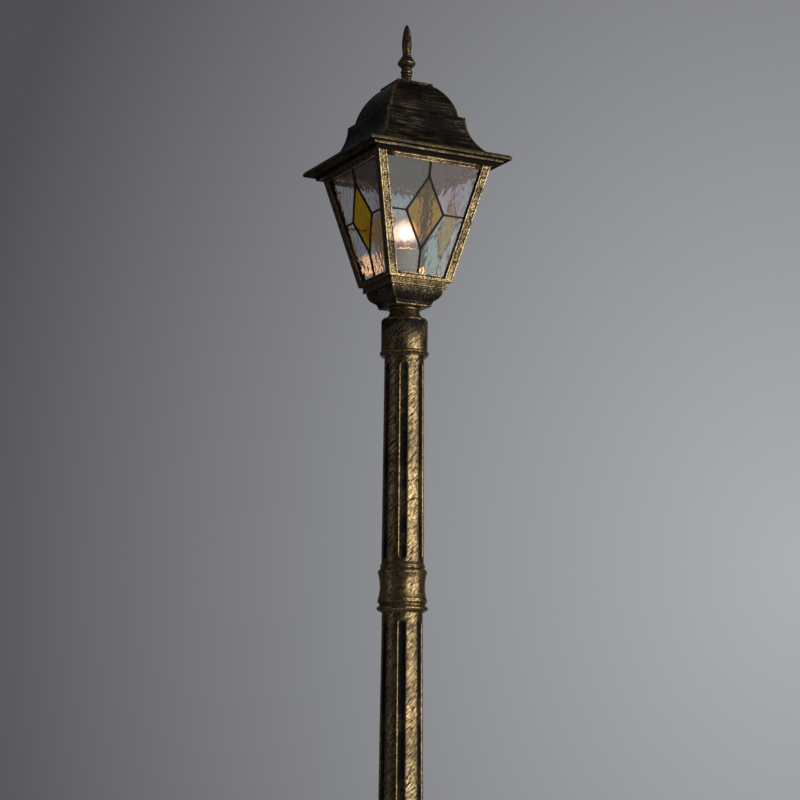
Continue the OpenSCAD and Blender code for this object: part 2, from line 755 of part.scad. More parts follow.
module stem_spacer() {
    color(steel) translate([0, 0, holder_z - spacer_l]) difference() {
        cylinder(h = spacer_l, r = spacer_r);
        translate([0, 0, -1]) cylinder(h = spacer_l + 2, r = stem_r + 0.2);
    }
}

module holder_body() {
    waist = holder_h - holder_bore_l - 6;
    color([0.88, 0.87, 0.83]) translate([0, 0, holder_z]) difference() {
        turned([[0, 0], [holder_r - 4, 0], [holder_r - 2.5, 1.5], [holder_r - 2.5, waist],
            [holder_r, waist + 4], [holder_r, holder_h - 1.5], [holder_r - 1.5, holder_h], [0, holder_h]]);
        translate([0, 0, holder_h - holder_bore_l]) cylinder(h = holder_bore_l + 1, r = holder_bore_r);
        translate([0, 0, -1]) cylinder(h = stem_above + 1, r = stem_r + 0.1);
        translate([0, 0, stem_above - 1]) cylinder(h = holder_h, r = 2.6);
    }
}

module holder_shell() {
    color(brass) translate([0, 0, holder_z + holder_h - holder_bore_l]) difference() {
        cylinder(h = shell_l, r = holder_bore_r - shell_fit);
        translate([0, 0, -1]) cylinder(h = shell_l + 2, r = holder_bore_r - shell_fit - shell_wall);
    }
}

module holder_contact() {
    color(brass) translate([0, 0, holder_z + holder_h - holder_bore_l]) {
        cylinder(h = 1.2, r = 7);
        cylinder(h = contact_h, r = 3);
    }
}

// Outline of the bulb's glass, from its neck to the crown; inset makes the inner face
function globe_outline(inset) = let (low = globe_z - bulb_z - bulb_cap_l) concat(
    [[neck_r - inset, -3], [neck_r - inset, 2]],
    arc(0, low, globe_r - inset, -52, 89, 20));

module bulb_glass() {
    color([0.95, 0.95, 0.9, 0.4]) translate([0, 0, bulb_z + bulb_cap_l]) difference() {
        turned(concat([[0, -3]], globe_outline(0), [[0, globe_z - bulb_z - bulb_cap_l + globe_r]]));
        turned(concat([[0, -2]], [for (p = globe_outline(bulb_wall)) [p[0], max(p[1], -2)]],
            [[0, globe_z - bulb_z - bulb_cap_l + globe_r - bulb_wall]]));
    }
}

module bulb_cap() {
    color(brass) translate([0, 0, bulb_z]) difference() {
        turned([[0, 0], [4, 0], [4.6, 1.4], [8, 3], [bulb_cap_r - 0.6, 5], [bulb_cap_r, 6],
            [bulb_cap_r, bulb_cap_l], [0, bulb_cap_l]]);
        translate([0, 0, bulb_cap_l - 3.2]) cylinder(h = 4, r = neck_r + 0.1);
    }
}

module bulb_filament() {
    foot = bulb_cap_l - 1.9;
    rise = globe_z - bulb_z - 3.4;
    color([1, 0.85, 0.55]) translate([0, 0, bulb_z]) {
        translate([0, 0, foot]) cylinder(h = 12, r1 = 4, r2 = 2.4);
        for (x = [-1, 1]) translate([x * 1.6, 0, foot + 10]) rotate([0, x * 18, 0])
            cylinder(h = (rise - foot - 10) / cos(18), r = 0.4);
        translate([-6.6, 0, rise]) rotate([0, 90, 0]) cylinder(h = 13.2, r = 1.1);
    }
}

// ---------- wiring in the base and the post ----------

// A tube of flat rings along a route, closed at both ends
module swept(route, radius, sides) {
    rings = [for (p = route) for (s = [0:sides - 1])
        [p[0] + radius * cos(360 * s / sides), p[1] + radius * sin(360 * s / sides), p[2]]];
    last = (len(route) - 1) * sides;
    polyhedron(rings, concat(
        [[for (s = [0:sides - 1]) s]],
        [for (i = [0:len(route) - 2]) for (s = [0:sides - 1]) let (n = (s + 1) % sides)
            [i * sides + s, (i + 1) * sides + s, (i + 1) * sides + n, i * sides + n]],
        [[for (s = [sides - 1:-1:0]) last + s]]));
}

module post_cable() {
    color([0.1, 0.1, 0.1]) swept(cable_route, cable_r, cable_sides);
}

pole_xs = [-pole_pitch, 0, pole_pitch];

module terminal_block() {
    color([0.92, 0.92, 0.9]) translate([-block_size[0] / 2, block_y, block_z]) difference() {
        cube(block_size);
        for (x = pole_xs, z = [5, 15]) translate([block_size[0] / 2 + x, -1, z])
            rotate([-90, 0, 0]) cylinder(h = 6, r = 2.3);
        translate([block_size[0] / 2, block_size[1] / 2, -1]) for (x = pole_xs) translate([x, 0, 0])
            cylinder(h = 9, r = 1.8);
    }
}

module terminal_screws() {
    color(brass) for (x = pole_xs, z = [5, 15]) translate([x, block_y + 2, block_z + z])
        rotate([-90, 0, 0]) cylinder(h = 3, r = 2.2);
}

module terminal_bracket() {
    color(steel) translate([-14, lug_y - bracket_t, lug_z + lug_size[2] - bracket_l]) difference() {
        cube([28, bracket_t, bracket_l]);
        for (x = [-8, 0, 8]) translate([14 + x, -1, bracket_l - lug_size[2] + (x == 0 ? 5 : 13)])
            rotate([-90, 0, 0]) cylinder(h = 4, r = small_screw_r + 0.3);
    }
}

module small_screw() {
    rotate([-90, 0, 0]) {
        translate([0, 0, -small_head_h / 2])
            cylinder(h = bracket_t + 6 + small_head_h / 2, r = small_screw_r);
        translate([0, 0, -small_head_h]) cylinder(h = small_head_h, r = small_head_r);
    }
}

module bracket_screws() {
    color(steel) for (x = [-8, 8]) translate([x, lug_y - bracket_t, lug_z + 13]) small_screw();
}

module earth_screw() {
    color(brass) translate([0, lug_y - bracket_t, lug_z + 5]) small_screw();
}

// ---------- the assembly ----------

base_casting();
tube_ring(lower_ring_z, lower_bottom_r, base_neck_r + 0.4, base_socket_r, full_waist(ring_h));  // lower_ring
fluted_tube(lower_tube_z, lower_tube_l, lower_bottom_r, lower_top_r);  // lower_tube
tube_ring(middle_ring_z, middle_bottom_r, lower_top_r + 0.6, lower_top_r - tube_wall, slim_waist(ring_h));  // middle_ring
fluted_tube(middle_tube_z, middle_tube_l, middle_bottom_r, middle_top_r);  // middle_tube
tube_ring(upper_ring_z, upper_bottom_r, middle_top_r + 0.6, middle_top_r - tube_wall, slim_waist(ring_h));  // upper_ring
fluted_tube(upper_tube_z, upper_tube_l, upper_bottom_r, upper_top_r, collar_grip);  // upper_tube
lantern_collar();
collar_grub_screws();
lantern_cup();
cup_screws();
lantern_frame();
pane_clips();
clip_screws();
for (k = [0:3]) {
    came(k);
    clear_glass(k);
    amber_glass(k);
}
roof_shell();
roof_screw(180);  // roof_screw_left
roof_screw(0);  // roof_screw_right
finial();
finial_nut();
finial_washer();
threaded_stem();
stem_nuts();
stem_spacer();
holder_body();
holder_shell();
holder_contact();
bulb_glass();
bulb_cap();
bulb_filament();
post_cable();
terminal_block();
terminal_screws();
terminal_bracket();
bracket_screws();
earth_screw();
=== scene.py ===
# %% [markdown]
# # A leaded-glass lantern on a fluted post
#
# This lesson dresses a post lamp that was built first as an exact CAD assembly. The
# assembly is loaded as a fixed frame: it says where every piece is and which body it
# moves with. Each step below replaces one plain CAD piece with a detailed surface, or
# gives a CAD piece its finish. All new shapes are worked out as whole numpy arrays.

import math

import bpy
import numpy as np
from mathutils import Matrix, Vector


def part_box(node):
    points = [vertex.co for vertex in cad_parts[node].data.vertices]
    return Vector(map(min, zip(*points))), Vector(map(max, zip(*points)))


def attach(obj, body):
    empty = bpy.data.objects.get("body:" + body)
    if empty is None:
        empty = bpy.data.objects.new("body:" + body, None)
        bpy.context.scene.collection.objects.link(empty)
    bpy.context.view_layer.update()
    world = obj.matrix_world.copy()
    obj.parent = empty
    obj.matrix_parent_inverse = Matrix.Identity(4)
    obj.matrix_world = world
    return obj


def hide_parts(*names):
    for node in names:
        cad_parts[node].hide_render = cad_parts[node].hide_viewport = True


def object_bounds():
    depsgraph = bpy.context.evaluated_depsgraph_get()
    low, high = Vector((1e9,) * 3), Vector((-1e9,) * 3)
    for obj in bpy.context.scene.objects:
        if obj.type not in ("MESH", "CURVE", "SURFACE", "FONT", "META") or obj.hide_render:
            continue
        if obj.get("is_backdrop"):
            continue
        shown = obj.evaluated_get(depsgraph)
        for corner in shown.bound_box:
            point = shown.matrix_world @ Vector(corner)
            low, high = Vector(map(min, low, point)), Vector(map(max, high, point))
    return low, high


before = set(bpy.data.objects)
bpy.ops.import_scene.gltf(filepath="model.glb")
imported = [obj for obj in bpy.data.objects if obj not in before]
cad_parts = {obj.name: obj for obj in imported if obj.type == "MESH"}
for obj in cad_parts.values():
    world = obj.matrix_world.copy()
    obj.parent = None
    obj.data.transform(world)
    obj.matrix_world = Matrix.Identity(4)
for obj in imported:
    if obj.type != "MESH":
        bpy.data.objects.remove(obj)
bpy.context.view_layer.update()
MM = 0.001

# %% [markdown]
# ## Heights
#
# The frame gives each piece's height, so nothing has to be fitted by eye. Heights are
# kept in millimetres, as a lamp maker's drawing has them, and become metres only when
# a mesh is made.

# %% Read the heights of the stack from the frame
def low_mm(node):
    """The lowest point of a CAD node, in millimetres."""
    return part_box(node)[0][2] / MM


def high_mm(node):
    """The highest point of a CAD node, in millimetres."""
    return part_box(node)[1][2] / MM


RINGS = ("lower_ring", "middle_ring", "upper_ring")
SPIGOT = 25.0
Z_COLLAR = low_mm("lantern_collar")
Z_CUP = low_mm("lantern_cup")
Z_FRAME = high_mm("lantern_cup")
Z_SEAT = high_mm("lantern_frame")
Z_CAP = high_mm("roof_shell")
print("collar, cup, frame, roof seat and cap at",
      [round(z, 1) for z in (Z_COLLAR, Z_CUP, Z_FRAME, Z_SEAT, Z_CAP)])

# %% [markdown]
# ## From a grid of points to a mesh
#
# Every new surface is a grid of points with two running numbers. The grid may close on
# itself one way, both ways, end in flat caps or run to a pole. Building the faces from
# index arrays is quick, and the order of the corners decides which way they face.

# %% A grid of points becomes a mesh
def index_faces(rows, cols, wrap_rows, wrap_cols):
    """Quads of a rows x cols grid. A corner at (i, j) is followed by (i, j+1), so a
    grid whose rows climb and whose columns run anticlockwise faces outwards."""
    i = np.arange(rows if wrap_rows else rows - 1)[:, None]
    j = np.arange(cols if wrap_cols else cols - 1)[None, :]
    nxt_i, nxt_j = (i + 1) % rows, (j + 1) % cols
    corners = i * cols + j, i * cols + nxt_j, nxt_i * cols + nxt_j, nxt_i * cols + j
    return np.stack(corners, axis=-1).reshape(-1, 4)


def capped_faces(rows, cols):
    """Faces of a tube of rows sections of cols points, with a flat cap at each end."""
    section = np.arange(cols)
    ends = [section[::-1][None], (rows - 1) * cols + section[None]]
    return [index_faces(rows, cols, False, True)] + ends


def with_poles(grid, low, high):
    """A grid that goes round the axis, with a fan of triangles to a pole at each end."""
    rows, around = grid.shape[:2]
    points = np.vstack([grid.reshape(-1, 3), [[0, 0, low], [0, 0, high]]])
    j = np.arange(around)
    nxt, last = (j + 1) % around, (rows - 1) * around
    fans = [np.stack([np.full(around, rows * around), nxt, j], axis=-1),
            np.stack([np.full(around, rows * around + 1), last + j, last + nxt], axis=-1)]
    return points, [index_faces(rows, around, False, True)] + fans


def joined(parts):
    """Several (points, faces, rub) sets as one. Faces are lists of index arrays."""
    points, faces, rubs, start = [], [], [], 0
    for p, f, r in parts:
        points.append(p.reshape(-1, 3))
        faces += [np.asarray(block) + start for block in f]
        rubs.append(np.broadcast_to(np.asarray(r, float), p.shape[:-1]).ravel())
        start += len(points[-1])
    return np.vstack(points), faces, np.concatenate(rubs)


def make_piece(name, parts, material, body="post", replaces=()):
    """Puts grids of points in millimetres into one object, in metres, at the origin.
    rub is kept as a point attribute: 1 on an edge that hands and brushes reach, 0 on a
    flat, and below 0 in a hollow corner. Under the roof's eave a value below 0 is painted
    shade."""
    points, faces, rub = joined(parts)
    mesh = bpy.data.meshes.new(name)
    mesh.from_pydata((points * MM).tolist(), [], [f for block in faces for f in block.tolist()])
    mesh.attributes.new("rub", "FLOAT", "POINT").data.foreach_set("value", rub.astype(np.float32))
    mesh.polygons.foreach_set("use_smooth", np.ones(len(mesh.polygons), bool))
    mesh.materials.append(material)
    mesh.validate()
    mesh.update()
    piece = bpy.data.objects.new(name, mesh)
    bpy.context.scene.collection.objects.link(piece)
    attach(piece, body)
    if replaces:
        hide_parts(*replaces)
    print(name, len(mesh.vertices), "points,", len(mesh.polygons), "faces")
    return piece


# %% [markdown]
# ## Outlines with soft corners
#
# A cast or turned piece never has a razor edge. Each corner of an outline is replaced
# with a short parabola, and a guard point on either side keeps the neighbouring flat
# truly flat. The turn at the corner is kept as the rub value, because gold paint that
# is brushed on nearly dry catches on outer edges and misses inner corners.

# %% Outline helpers
def arc(r, z, radius, a, b, steps=12):
    """Points (r + R cos t, z + R sin t) for t from a to b degrees."""
    t = np.radians(np.linspace(a, b, steps + 1))
    return np.stack([r + radius * np.cos(t), z + radius * np.sin(t)], axis=-1)


def soften(outline, radius, guard=1.3, steps=5, closed=True):
    """Rounds the corners of an outline that runs anticlockwise. Corner p between the
    directions u and w becomes (1-t)^2 (p+ud) + 2t(1-t) p + t^2 (p+wd). Returns the new
    points and the rub of each."""
    pts = np.asarray(outline, float)
    count = len(pts)
    points, rub = [], []
    for i in range(count):
        if not closed and i in (0, count - 1):
            points.append(pts[i:i + 1])
            rub.append(np.zeros(1))
            continue
        p = pts[i]
        u, w = pts[i - 1] - p, pts[(i + 1) % count] - p
        lu, lw = np.hypot(*u), np.hypot(*w)
        u, w = u / lu, w / lw
        turn = -u[0] * w[1] + u[1] * w[0]
        if abs(turn) < 0.25:
            points.append(p[None])
            rub.append(np.array([turn * 0.5]))
            continue
        cut = min(radius, 0.42 * lu, 0.42 * lw)
        t = np.linspace(0, 1, steps)[:, None]
        curve = (1 - t) ** 2 * (p + u * cut) + 2 * t * (1 - t) * p + t ** 2 * (p + w * cut)
        before = p + u * min(max(guard, cut * 1.3), 0.47 * lu)
        after = p + w * min(max(guard, cut * 1.3), 0.47 * lw)
        points.append(np.vstack([before, curve, after]))
        rub.append(np.concatenate([[0.0], np.full(steps, turn), [0.0]]))
    return np.vstack(points), np.concatenate(rub)


# %% [markdown]
# ## Turned pieces
#
# Rings, collars, the bell base and the finial are bodies of revolution, so one outline
# swept round the post's axis makes each. A piece with a bore has a closed outline. One
# that reaches the axis gets a fan of triangles at each pole.

# %% Sweep an outline round the axis
def full_turn(steps):
    """Angles of one full turn in equal steps, the last step left open."""
    return np.linspace(0, 2 * np.pi, steps, endpoint=False)


def round_grid(radius, angles, z):
    """Grid (r cos a, r sin a, z), with a radius and a height for each row or point."""
    x, y = radius * np.cos(angles), radius * np.sin(angles)
    return np.stack([x, y, np.broadcast_to(z, x.shape)], axis=-1)


def spun(prof, around):
    """Grid of an outline in r and z carried round the axis."""
    return round_grid(prof[:, :1], full_turn(around), prof[:, 1:])


def turned(outline, radius=0.4, around=96):
    """A piece with a bore: its closed outline carried round the axis."""
    prof, rub = soften(outline, radius)
    faces = [index_faces(len(prof), around, True, True)]
    return spun(prof, around), faces, np.repeat(rub[:, None], around, 1)


def turned_solid(outline, radius=0.4, around=64):
    """The same for an open outline whose first and last points lie on the axis."""
    prof, rub = soften(outline, radius, closed=False)
    points, faces = with_poles(spun(prof[1:-1], around), prof[0, 1], prof[-1, 1])
    return points, faces, np.concatenate([np.repeat(rub[1:-1], around), [0, 0]])


def placed(part, matrix):
    """A part with its points carried by a 4 x 4 matrix, in millimetres."""
    points, faces, rub = part
    m = np.array(matrix)
    return points @ m[:3, :3].T + m[:3, 3], faces, rub


def lifted(part, height):
    """A part moved straight up, in millimetres."""
    return placed(part, Matrix.Translation((0, 0, height)))


# %% [markdown]
# ## Square pieces
#
# The roof, the cup and the frame's flanges are the square cousins of a turned piece:
# the outline gives half the width at each height. The path round the square has small
# rounded corners. On the roof it also has a raised rib on both sides of each hip, as
# the casting does, so each path point is a multiple of the half-width plus an offset.

# %% Sweep an outline round a square
def square_path(corner=0.8, rib_width=0.0, corner_steps=5, side_steps=8):
    """Path points as C * half + E + rib * B, anticlockwise from the -Y side. C is the
    place on a unit square, E the corner's rounding and B the rib's outward step. One
    side is listed up to and round its corner, and then turned four times."""
    ribs = [(1.6, 0, 0.0), (0.5, 0, -0.2), (0.0, 1, 1.0), (-0.8, 1, 0.1)]
    if not rib_width:
        ribs = [(corner + 1.3, 0, 0.0)]
    rows = [((t, -1), (0, 0), (0, 0), 0.0) for t in np.linspace(-0.86, 0.86, side_steps)]
    rows += [((1, -1), (-rib_width - beyond, 0), (0, -up), rub) for beyond, up, rub in ribs]
    for a in np.radians(np.linspace(-90, 0, corner_steps)):
        out = (corner * (math.cos(a) - 1), corner * (math.sin(a) + 1))
        rows.append(((1, -1), out, (1, -1), 0.5 if rib_width else 1.0))
    rows += [((1, -1), (0, rib_width + beyond), (up, 0), rub) for beyond, up, rub in ribs[::-1]]
    *vectors, rub = (np.array(column, float) for column in zip(*rows))
    turns = [np.array([[math.cos(a), math.sin(a)], [-math.sin(a), math.cos(a)]]) for a in full_turn(4)]
    c, e, b = (np.vstack([side @ turn for turn in turns]) for side in vectors)
    return c, e, b, np.tile(rub, 4)


def with_depth(plane, depth):
    """Points in a plane, each given its third coordinate."""
    return np.concatenate([plane, np.broadcast_to(depth, plane.shape[:2] + (1,))], axis=-1)


def squared(outline, radius=0.5, corner=0.8, rib_width=0.0, rib=None, bare=False):
    """Grid of a closed outline of half-widths and heights carried round a square. rib
    gives the rib's height above the sides for each point of the outline. bare marks
    the hollow side: what follows the outline's highest point is painted black only."""
    prof, rub_prof = soften(outline, radius)
    c, e, b, rub_path = square_path(corner, rib_width)
    height = np.zeros(len(prof)) if rib is None else rib(prof)
    xy = c[None] * prof[:, None, :1] + e[None] + b[None] * height[:, None, None]
    along, round_it = rub_prof[:, None], rub_path[None]
    inner = along < -0.1
    rub = np.maximum(along, round_it * np.where(inner, 0.3, 1.0))
    rub = np.where(inner, np.minimum(rub, along + round_it), rub)
    if bare:
        hollow = np.arange(len(prof)) > np.argmax(prof[:, 1]) + 3
        rub = np.where(hollow[:, None], -1.0, rub)
    return with_depth(xy, prof[:, None, 1:]), [index_faces(len(prof), len(c), True, True)], rub


# %% [markdown]
# ## Shader notes
#
# Materials are nets of nodes. A few small helpers keep them readable: they place a
# node with its values and links, do one sum, make noise, mix two colours or two shaders,
# or start a node group with named sockets.

# %% Node helpers
def wire(tree, node, inputs):
    """Fills a node's inputs. A value that is a socket is linked, any other is set."""
    for key, value in inputs.items():
        if isinstance(value, bpy.types.NodeSocket):
            tree.links.new(value, node.inputs[key])
        else:
            node.inputs[key].default_value = value


def put(tree, kind, inputs, **settings):
    """Adds a node with its settings and its inputs."""
    node = tree.nodes.new(kind)
    for key, value in settings.items():
        setattr(node, key, value)
    wire(tree, node, inputs)
    return node


def calc(tree, operation, *values, clamp=False):
    """One Math node; returns its result."""
    inputs = dict(enumerate(values))
    return put(tree, "ShaderNodeMath", inputs, operation=operation, use_clamp=clamp).outputs[0]


def ramp(tree, value, low, high, to_low=0.0, to_high=1.0):
    """A smooth step from to_low to to_high while value goes from low to high."""
    inputs = {"Value": value, "From Min": low, "From Max": high, "To Min": to_low, "To Max": to_high}
    return put(tree, "ShaderNodeMapRange", inputs, interpolation_type="SMOOTHSTEP").outputs["Result"]


def blend(tree, factor, first, second):
    """A colour mix; returns its colour. The node's colour sockets are 6, 7 and 2."""
    return put(tree, "ShaderNodeMix", {0: factor, 6: first, 7: second}, data_type="RGBA").outputs[2]


def shader_mix(tree, factor, first, second):
    """One shader fading into another; returns the mixed shader."""
    return put(tree, "ShaderNodeMixShader", {0: factor, 1: first, 2: second}).outputs[0]


def cloud(tree, vector, scale, detail, rough=0.5):
    """Fractal noise; returns its grey value."""
    inputs = {"Vector": vector, "Scale": scale, "Detail": detail, "Roughness": rough}
    return put(tree, "ShaderNodeTexNoise", inputs).outputs["Fac"]


def vector_math(tree, operation, first, second=(0.0, 0.0, 0.0)):
    """One Vector Math node; returns the node."""
    return put(tree, "ShaderNodeVectorMath", {0: first, 1: second}, operation=operation)


def relief(tree, shader, height, strength, distance):
    """A bump on a shader, distance metres high at most."""
    bump = put(tree, "ShaderNodeBump", {"Height": height, "Strength": strength, "Distance": distance})
    wire(tree, shader, {"Normal": bump.outputs[0]})


def node_of(tree, kind):
    """The one node of a kind that Blender put in a new tree."""
    return next(node for node in tree.nodes if node.type == kind)


def new_group(name, inputs, outputs):
    """An empty node group with float, vector or colour sockets and their defaults."""
    tree = bpy.data.node_groups.new(name, "ShaderNodeTree")
    kinds = {"f": "NodeSocketFloat", "v": "NodeSocketVector", "c": "NodeSocketColor"}
    for label, kind, default in inputs:
        socket = tree.interface.new_socket(label, in_out="INPUT", socket_type=kinds[kind])
        if default is not None:
            socket.default_value = default
    for label, kind in outputs:
        tree.interface.new_socket(label, in_out="OUTPUT", socket_type=kinds[kind])
    return tree, tree.nodes.new("NodeGroupInput"), tree.nodes.new("NodeGroupOutput")


# %% [markdown]
# ## Brush strokes that wind round the post
#
# The post is black paint with gold dragged over it slantwise, both ways, so fine
# scratches cross at steep angles. A pattern that is wrapped round a tube by its angle
# would have a seam. Here the space itself is twisted: each level is turned in
# proportion to its height, and the noise is then squeezed along the axis. Its streaks
# follow helices, with no seam anywhere.

# %% Node group: helical strokes
def build_helix_group():
    """q = R(turn * z) (x, y), and noise is read at (q * fine, z * along)."""
    tree, inp, out = new_group(
        "helical_strokes",
        [("Vector", "v", None), ("Turn", "f", 24.0), ("Fine", "f", 900.0), ("Along", "f", 30.0),
         ("Low", "f", 0.45), ("High", "f", 0.55)], [("Mask", "f")])
    given = inp.outputs
    split = put(tree, "ShaderNodeSeparateXYZ", {0: given["Vector"]})
    angle = calc(tree, "MULTIPLY", split.outputs[2], given["Turn"])
    twisted = put(tree, "ShaderNodeVectorRotate", {"Vector": given["Vector"], "Angle": angle},
                  rotation_type="Z_AXIS")
    scale = put(tree, "ShaderNodeCombineXYZ", {0: given["Fine"], 1: given["Fine"], 2: given["Along"]})
    at = vector_math(tree, "MULTIPLY", twisted.outputs[0], scale.outputs[0]).outputs[0]
    streaks = cloud(tree, at, 1.0, 2.0, 0.55)
    wire(tree, out, {"Mask": ramp(tree, streaks, given["Low"], given["High"])})
    return tree


HELIX = build_helix_group()
print("group", HELIX.name)

# %% [markdown]
# ## Level strokes and mottling for the square pieces
#
# The roof was wiped sideways, which leaves faint level streaks. Along any one side of
# the square either x or y runs, so noise read at x plus y is long on every side. The
# narrow bars were dabbed, which leaves small blotches instead.

# %% Node group: level strokes and dabs
def build_level_group():
    """Noise at ((x+y) * along, (x-y) * along, z * fine)."""
    tree, inp, out = new_group(
        "level_strokes",
        [("Vector", "v", None), ("Fine", "f", 500.0), ("Along", "f", 22.0), ("Low", "f", 0.5),
         ("High", "f", 0.62)], [("Mask", "f")])
    given = inp.outputs
    x, y, z = put(tree, "ShaderNodeSeparateXYZ", {0: given["Vector"]}).outputs
    plus = calc(tree, "MULTIPLY", calc(tree, "ADD", x, y), given["Along"])
    minus = calc(tree, "MULTIPLY", calc(tree, "SUBTRACT", x, y), given["Along"])
    up = calc(tree, "MULTIPLY", z, given["Fine"])
    at = put(tree, "ShaderNodeCombineXYZ", {0: plus, 1: minus, 2: up}).outputs[0]
    streaks = cloud(tree, at, 1.0, 3.0, 0.6)
    wire(tree, out, {"Mask": ramp(tree, streaks, given["Low"], given["High"])})
    return tree


LEVEL = build_level_group()
print("group", LEVEL.name)

# %% [markdown]
# ## Gold over black
#
# This group turns a stroke mask into the finish itself. Patches of a hand's width let
# the cover come and go, outer edges are rubbed bright, and inner corners stay black.
# The gold has its own speckle, between straw and brown.

# %% Node group: dry-brushed patina
def build_patina_group():
    """gold = clamp(strokes * patches * cover + rub * edge - hollows)."""
    tree, inp, out = new_group(
        "dry_brushed_patina",
        [("Vector", "v", None), ("Strokes", "f", 0.5), ("Cover", "f", 0.8), ("Rub", "f", 0.0),
         ("Edge", "f", 0.8), ("Bare", "f", 0.35), ("Straw", "c", (0.86, 0.66, 0.34, 1)),
         ("Brown", "c", (0.42, 0.27, 0.13, 1)), ("Black", "c", (0.010, 0.008, 0.007, 1))],
        [("Color", "c"), ("Roughness", "f"), ("Metallic", "f"), ("Height", "f")])
    given = inp.outputs
    patch = ramp(tree, cloud(tree, given["Vector"], 26.0, 3.0, 0.6), 0.34, 0.62, given["Bare"], 1.0)
    cover = calc(tree, "MULTIPLY", calc(tree, "MULTIPLY", given["Strokes"], patch), given["Cover"])
    chip = ramp(tree, cloud(tree, given["Vector"], 420.0, 2.0, 0.7), 0.34, 0.56)
    outer = calc(tree, "MAXIMUM", given["Rub"], 0.0)
    worn = calc(tree, "MULTIPLY", chip, calc(tree, "MULTIPLY_ADD", patch, 0.6, 0.4))
    edge = calc(tree, "MULTIPLY", calc(tree, "MULTIPLY", outer, given["Edge"]), worn)
    inner = calc(tree, "MINIMUM", given["Rub"], 0.0)
    # Negative rub keeps hollow corners black; under the roof's eave the same takes gold away as painted
    # shade.
    hollows_and_painted_shade = calc(tree, "MULTIPLY", inner, 0.9)
    gold = calc(tree, "ADD", calc(tree, "ADD", cover, edge), hollows_and_painted_shade, clamp=True)
    speck = cloud(tree, given["Vector"], 260.0, 2.0, 0.6)
    tone = blend(tree, ramp(tree, speck, 0.36, 0.60), given["Brown"], given["Straw"])
    clean = calc(tree, "ADD", 1.0, inner, clamp=True)
    shine = ramp(tree, gold, 0.0, 1.0, 0.34, 0.27)
    matt = calc(tree, "MULTIPLY", calc(tree, "SUBTRACT", 1.0, clean), 0.5)
    height = calc(tree, "ADD", gold, calc(tree, "MULTIPLY", speck, 0.6))
    wire(tree, out, {"Color": blend(tree, gold, given["Black"], tone),
                     "Roughness": calc(tree, "ADD", shine, matt),
                     "Metallic": calc(tree, "MULTIPLY", gold, 1.4, clamp=True),
                     "Height": calc(tree, "MULTIPLY", height, clean)})
    return tree


PATINA = build_patina_group()
print("group", PATINA.name)

# %% [markdown]
# ## Three ways of brushing
#
# The real lamp was painted black and then brushed by hand: crosswise on the round
# pieces, sideways on the roof, and dabbed on the narrow bars. One image per piece could
# do it, but three stroke patterns through the same patina group keep the finish even
# over the whole lamp, and none of them has a seam.

# %% Build the three patina materials
def base_material(name):
    """A new material with its tree, its Principled node and object coordinates."""
    mat = bpy.data.materials.new(name)
    mat.use_nodes = True
    tree = mat.node_tree
    coords = tree.nodes.new("ShaderNodeTexCoord").outputs["Object"]
    return mat, tree, node_of(tree, "BSDF_PRINCIPLED"), coords


STEEP_SCRATCHES = {"Turn": -33.0, "Fine": 1000.0, "Along": 120.0, "Low": 0.45, "High": 0.53}
SLOW_SCRATCHES = {"Turn": 18.0, "Fine": 600.0, "Along": 45.0, "Low": 0.28, "High": 0.36}
WIPED_STREAKS = {"Fine": 620.0, "Along": 20.0, "Low": 0.48, "High": 0.70}


def strokes_of(tree, coords, kind):
    """The stroke mask of one way of brushing."""
    def mask(group, values):
        inputs = {"Vector": coords, **values}
        return put(tree, "ShaderNodeGroup", inputs, node_tree=group).outputs[0]

    if kind == "crossed":
        return calc(tree, "MULTIPLY", mask(HELIX, STEEP_SCRATCHES), mask(HELIX, SLOW_SCRATCHES))
    if kind == "level":
        return mask(LEVEL, WIPED_STREAKS)
    return ramp(tree, cloud(tree, coords, 520.0, 3.0, 0.65), 0.44, 0.58)


def patina(name, kind, cover, edge, bare, thickness):
    """A casting's finish: black paint, gold brushed over it, both slightly uneven. bare
    is how much gold is left in the thinnest patches, thickness the height of the paint."""
    mat, tree, shader, coords = base_material(name)
    rub = put(tree, "ShaderNodeAttribute", {}, attribute_name="rub").outputs["Fac"]
    inputs = {"Vector": coords, "Strokes": strokes_of(tree, coords, kind), "Rub": rub,
              "Cover": cover, "Edge": edge, "Bare": bare}
    finish = put(tree, "ShaderNodeGroup", inputs, node_tree=PATINA).outputs
    wire(tree, shader, {"Base Color": finish["Color"], "Roughness": finish["Roughness"],
                        "Metallic": finish["Metallic"], "Specular IOR Level": 0.25})
    relief(tree, shader, finish["Height"], 0.5, thickness)
    print("material", name)
    return mat


POST_FINISH = patina("post_patina", "crossed", 1.0, 0.85, 0.60, 0.00005)
ROOF_FINISH = patina("roof_patina", "level", 0.50, 0.80, 0.0, 0.00006)
BAR_FINISH = patina("bar_patina", "dabbed", 0.85, 0.85, 0.35, 0.00008)


def casting(name, parts, finish, *nodes, body="post"):
    """A piece of the painted castings, made with one of the patina finishes."""
    return make_piece(name, parts, finish, body, nodes)


# %% [markdown]
# ## The turned rings
#
# Each ring joins two tubes: a bead, a cove, a waist drawn in like a cotton reel, and
# the same again in reverse. It could be one smooth curve, but the small steps between
# its members are what catch the light, so the outline keeps every one of them.

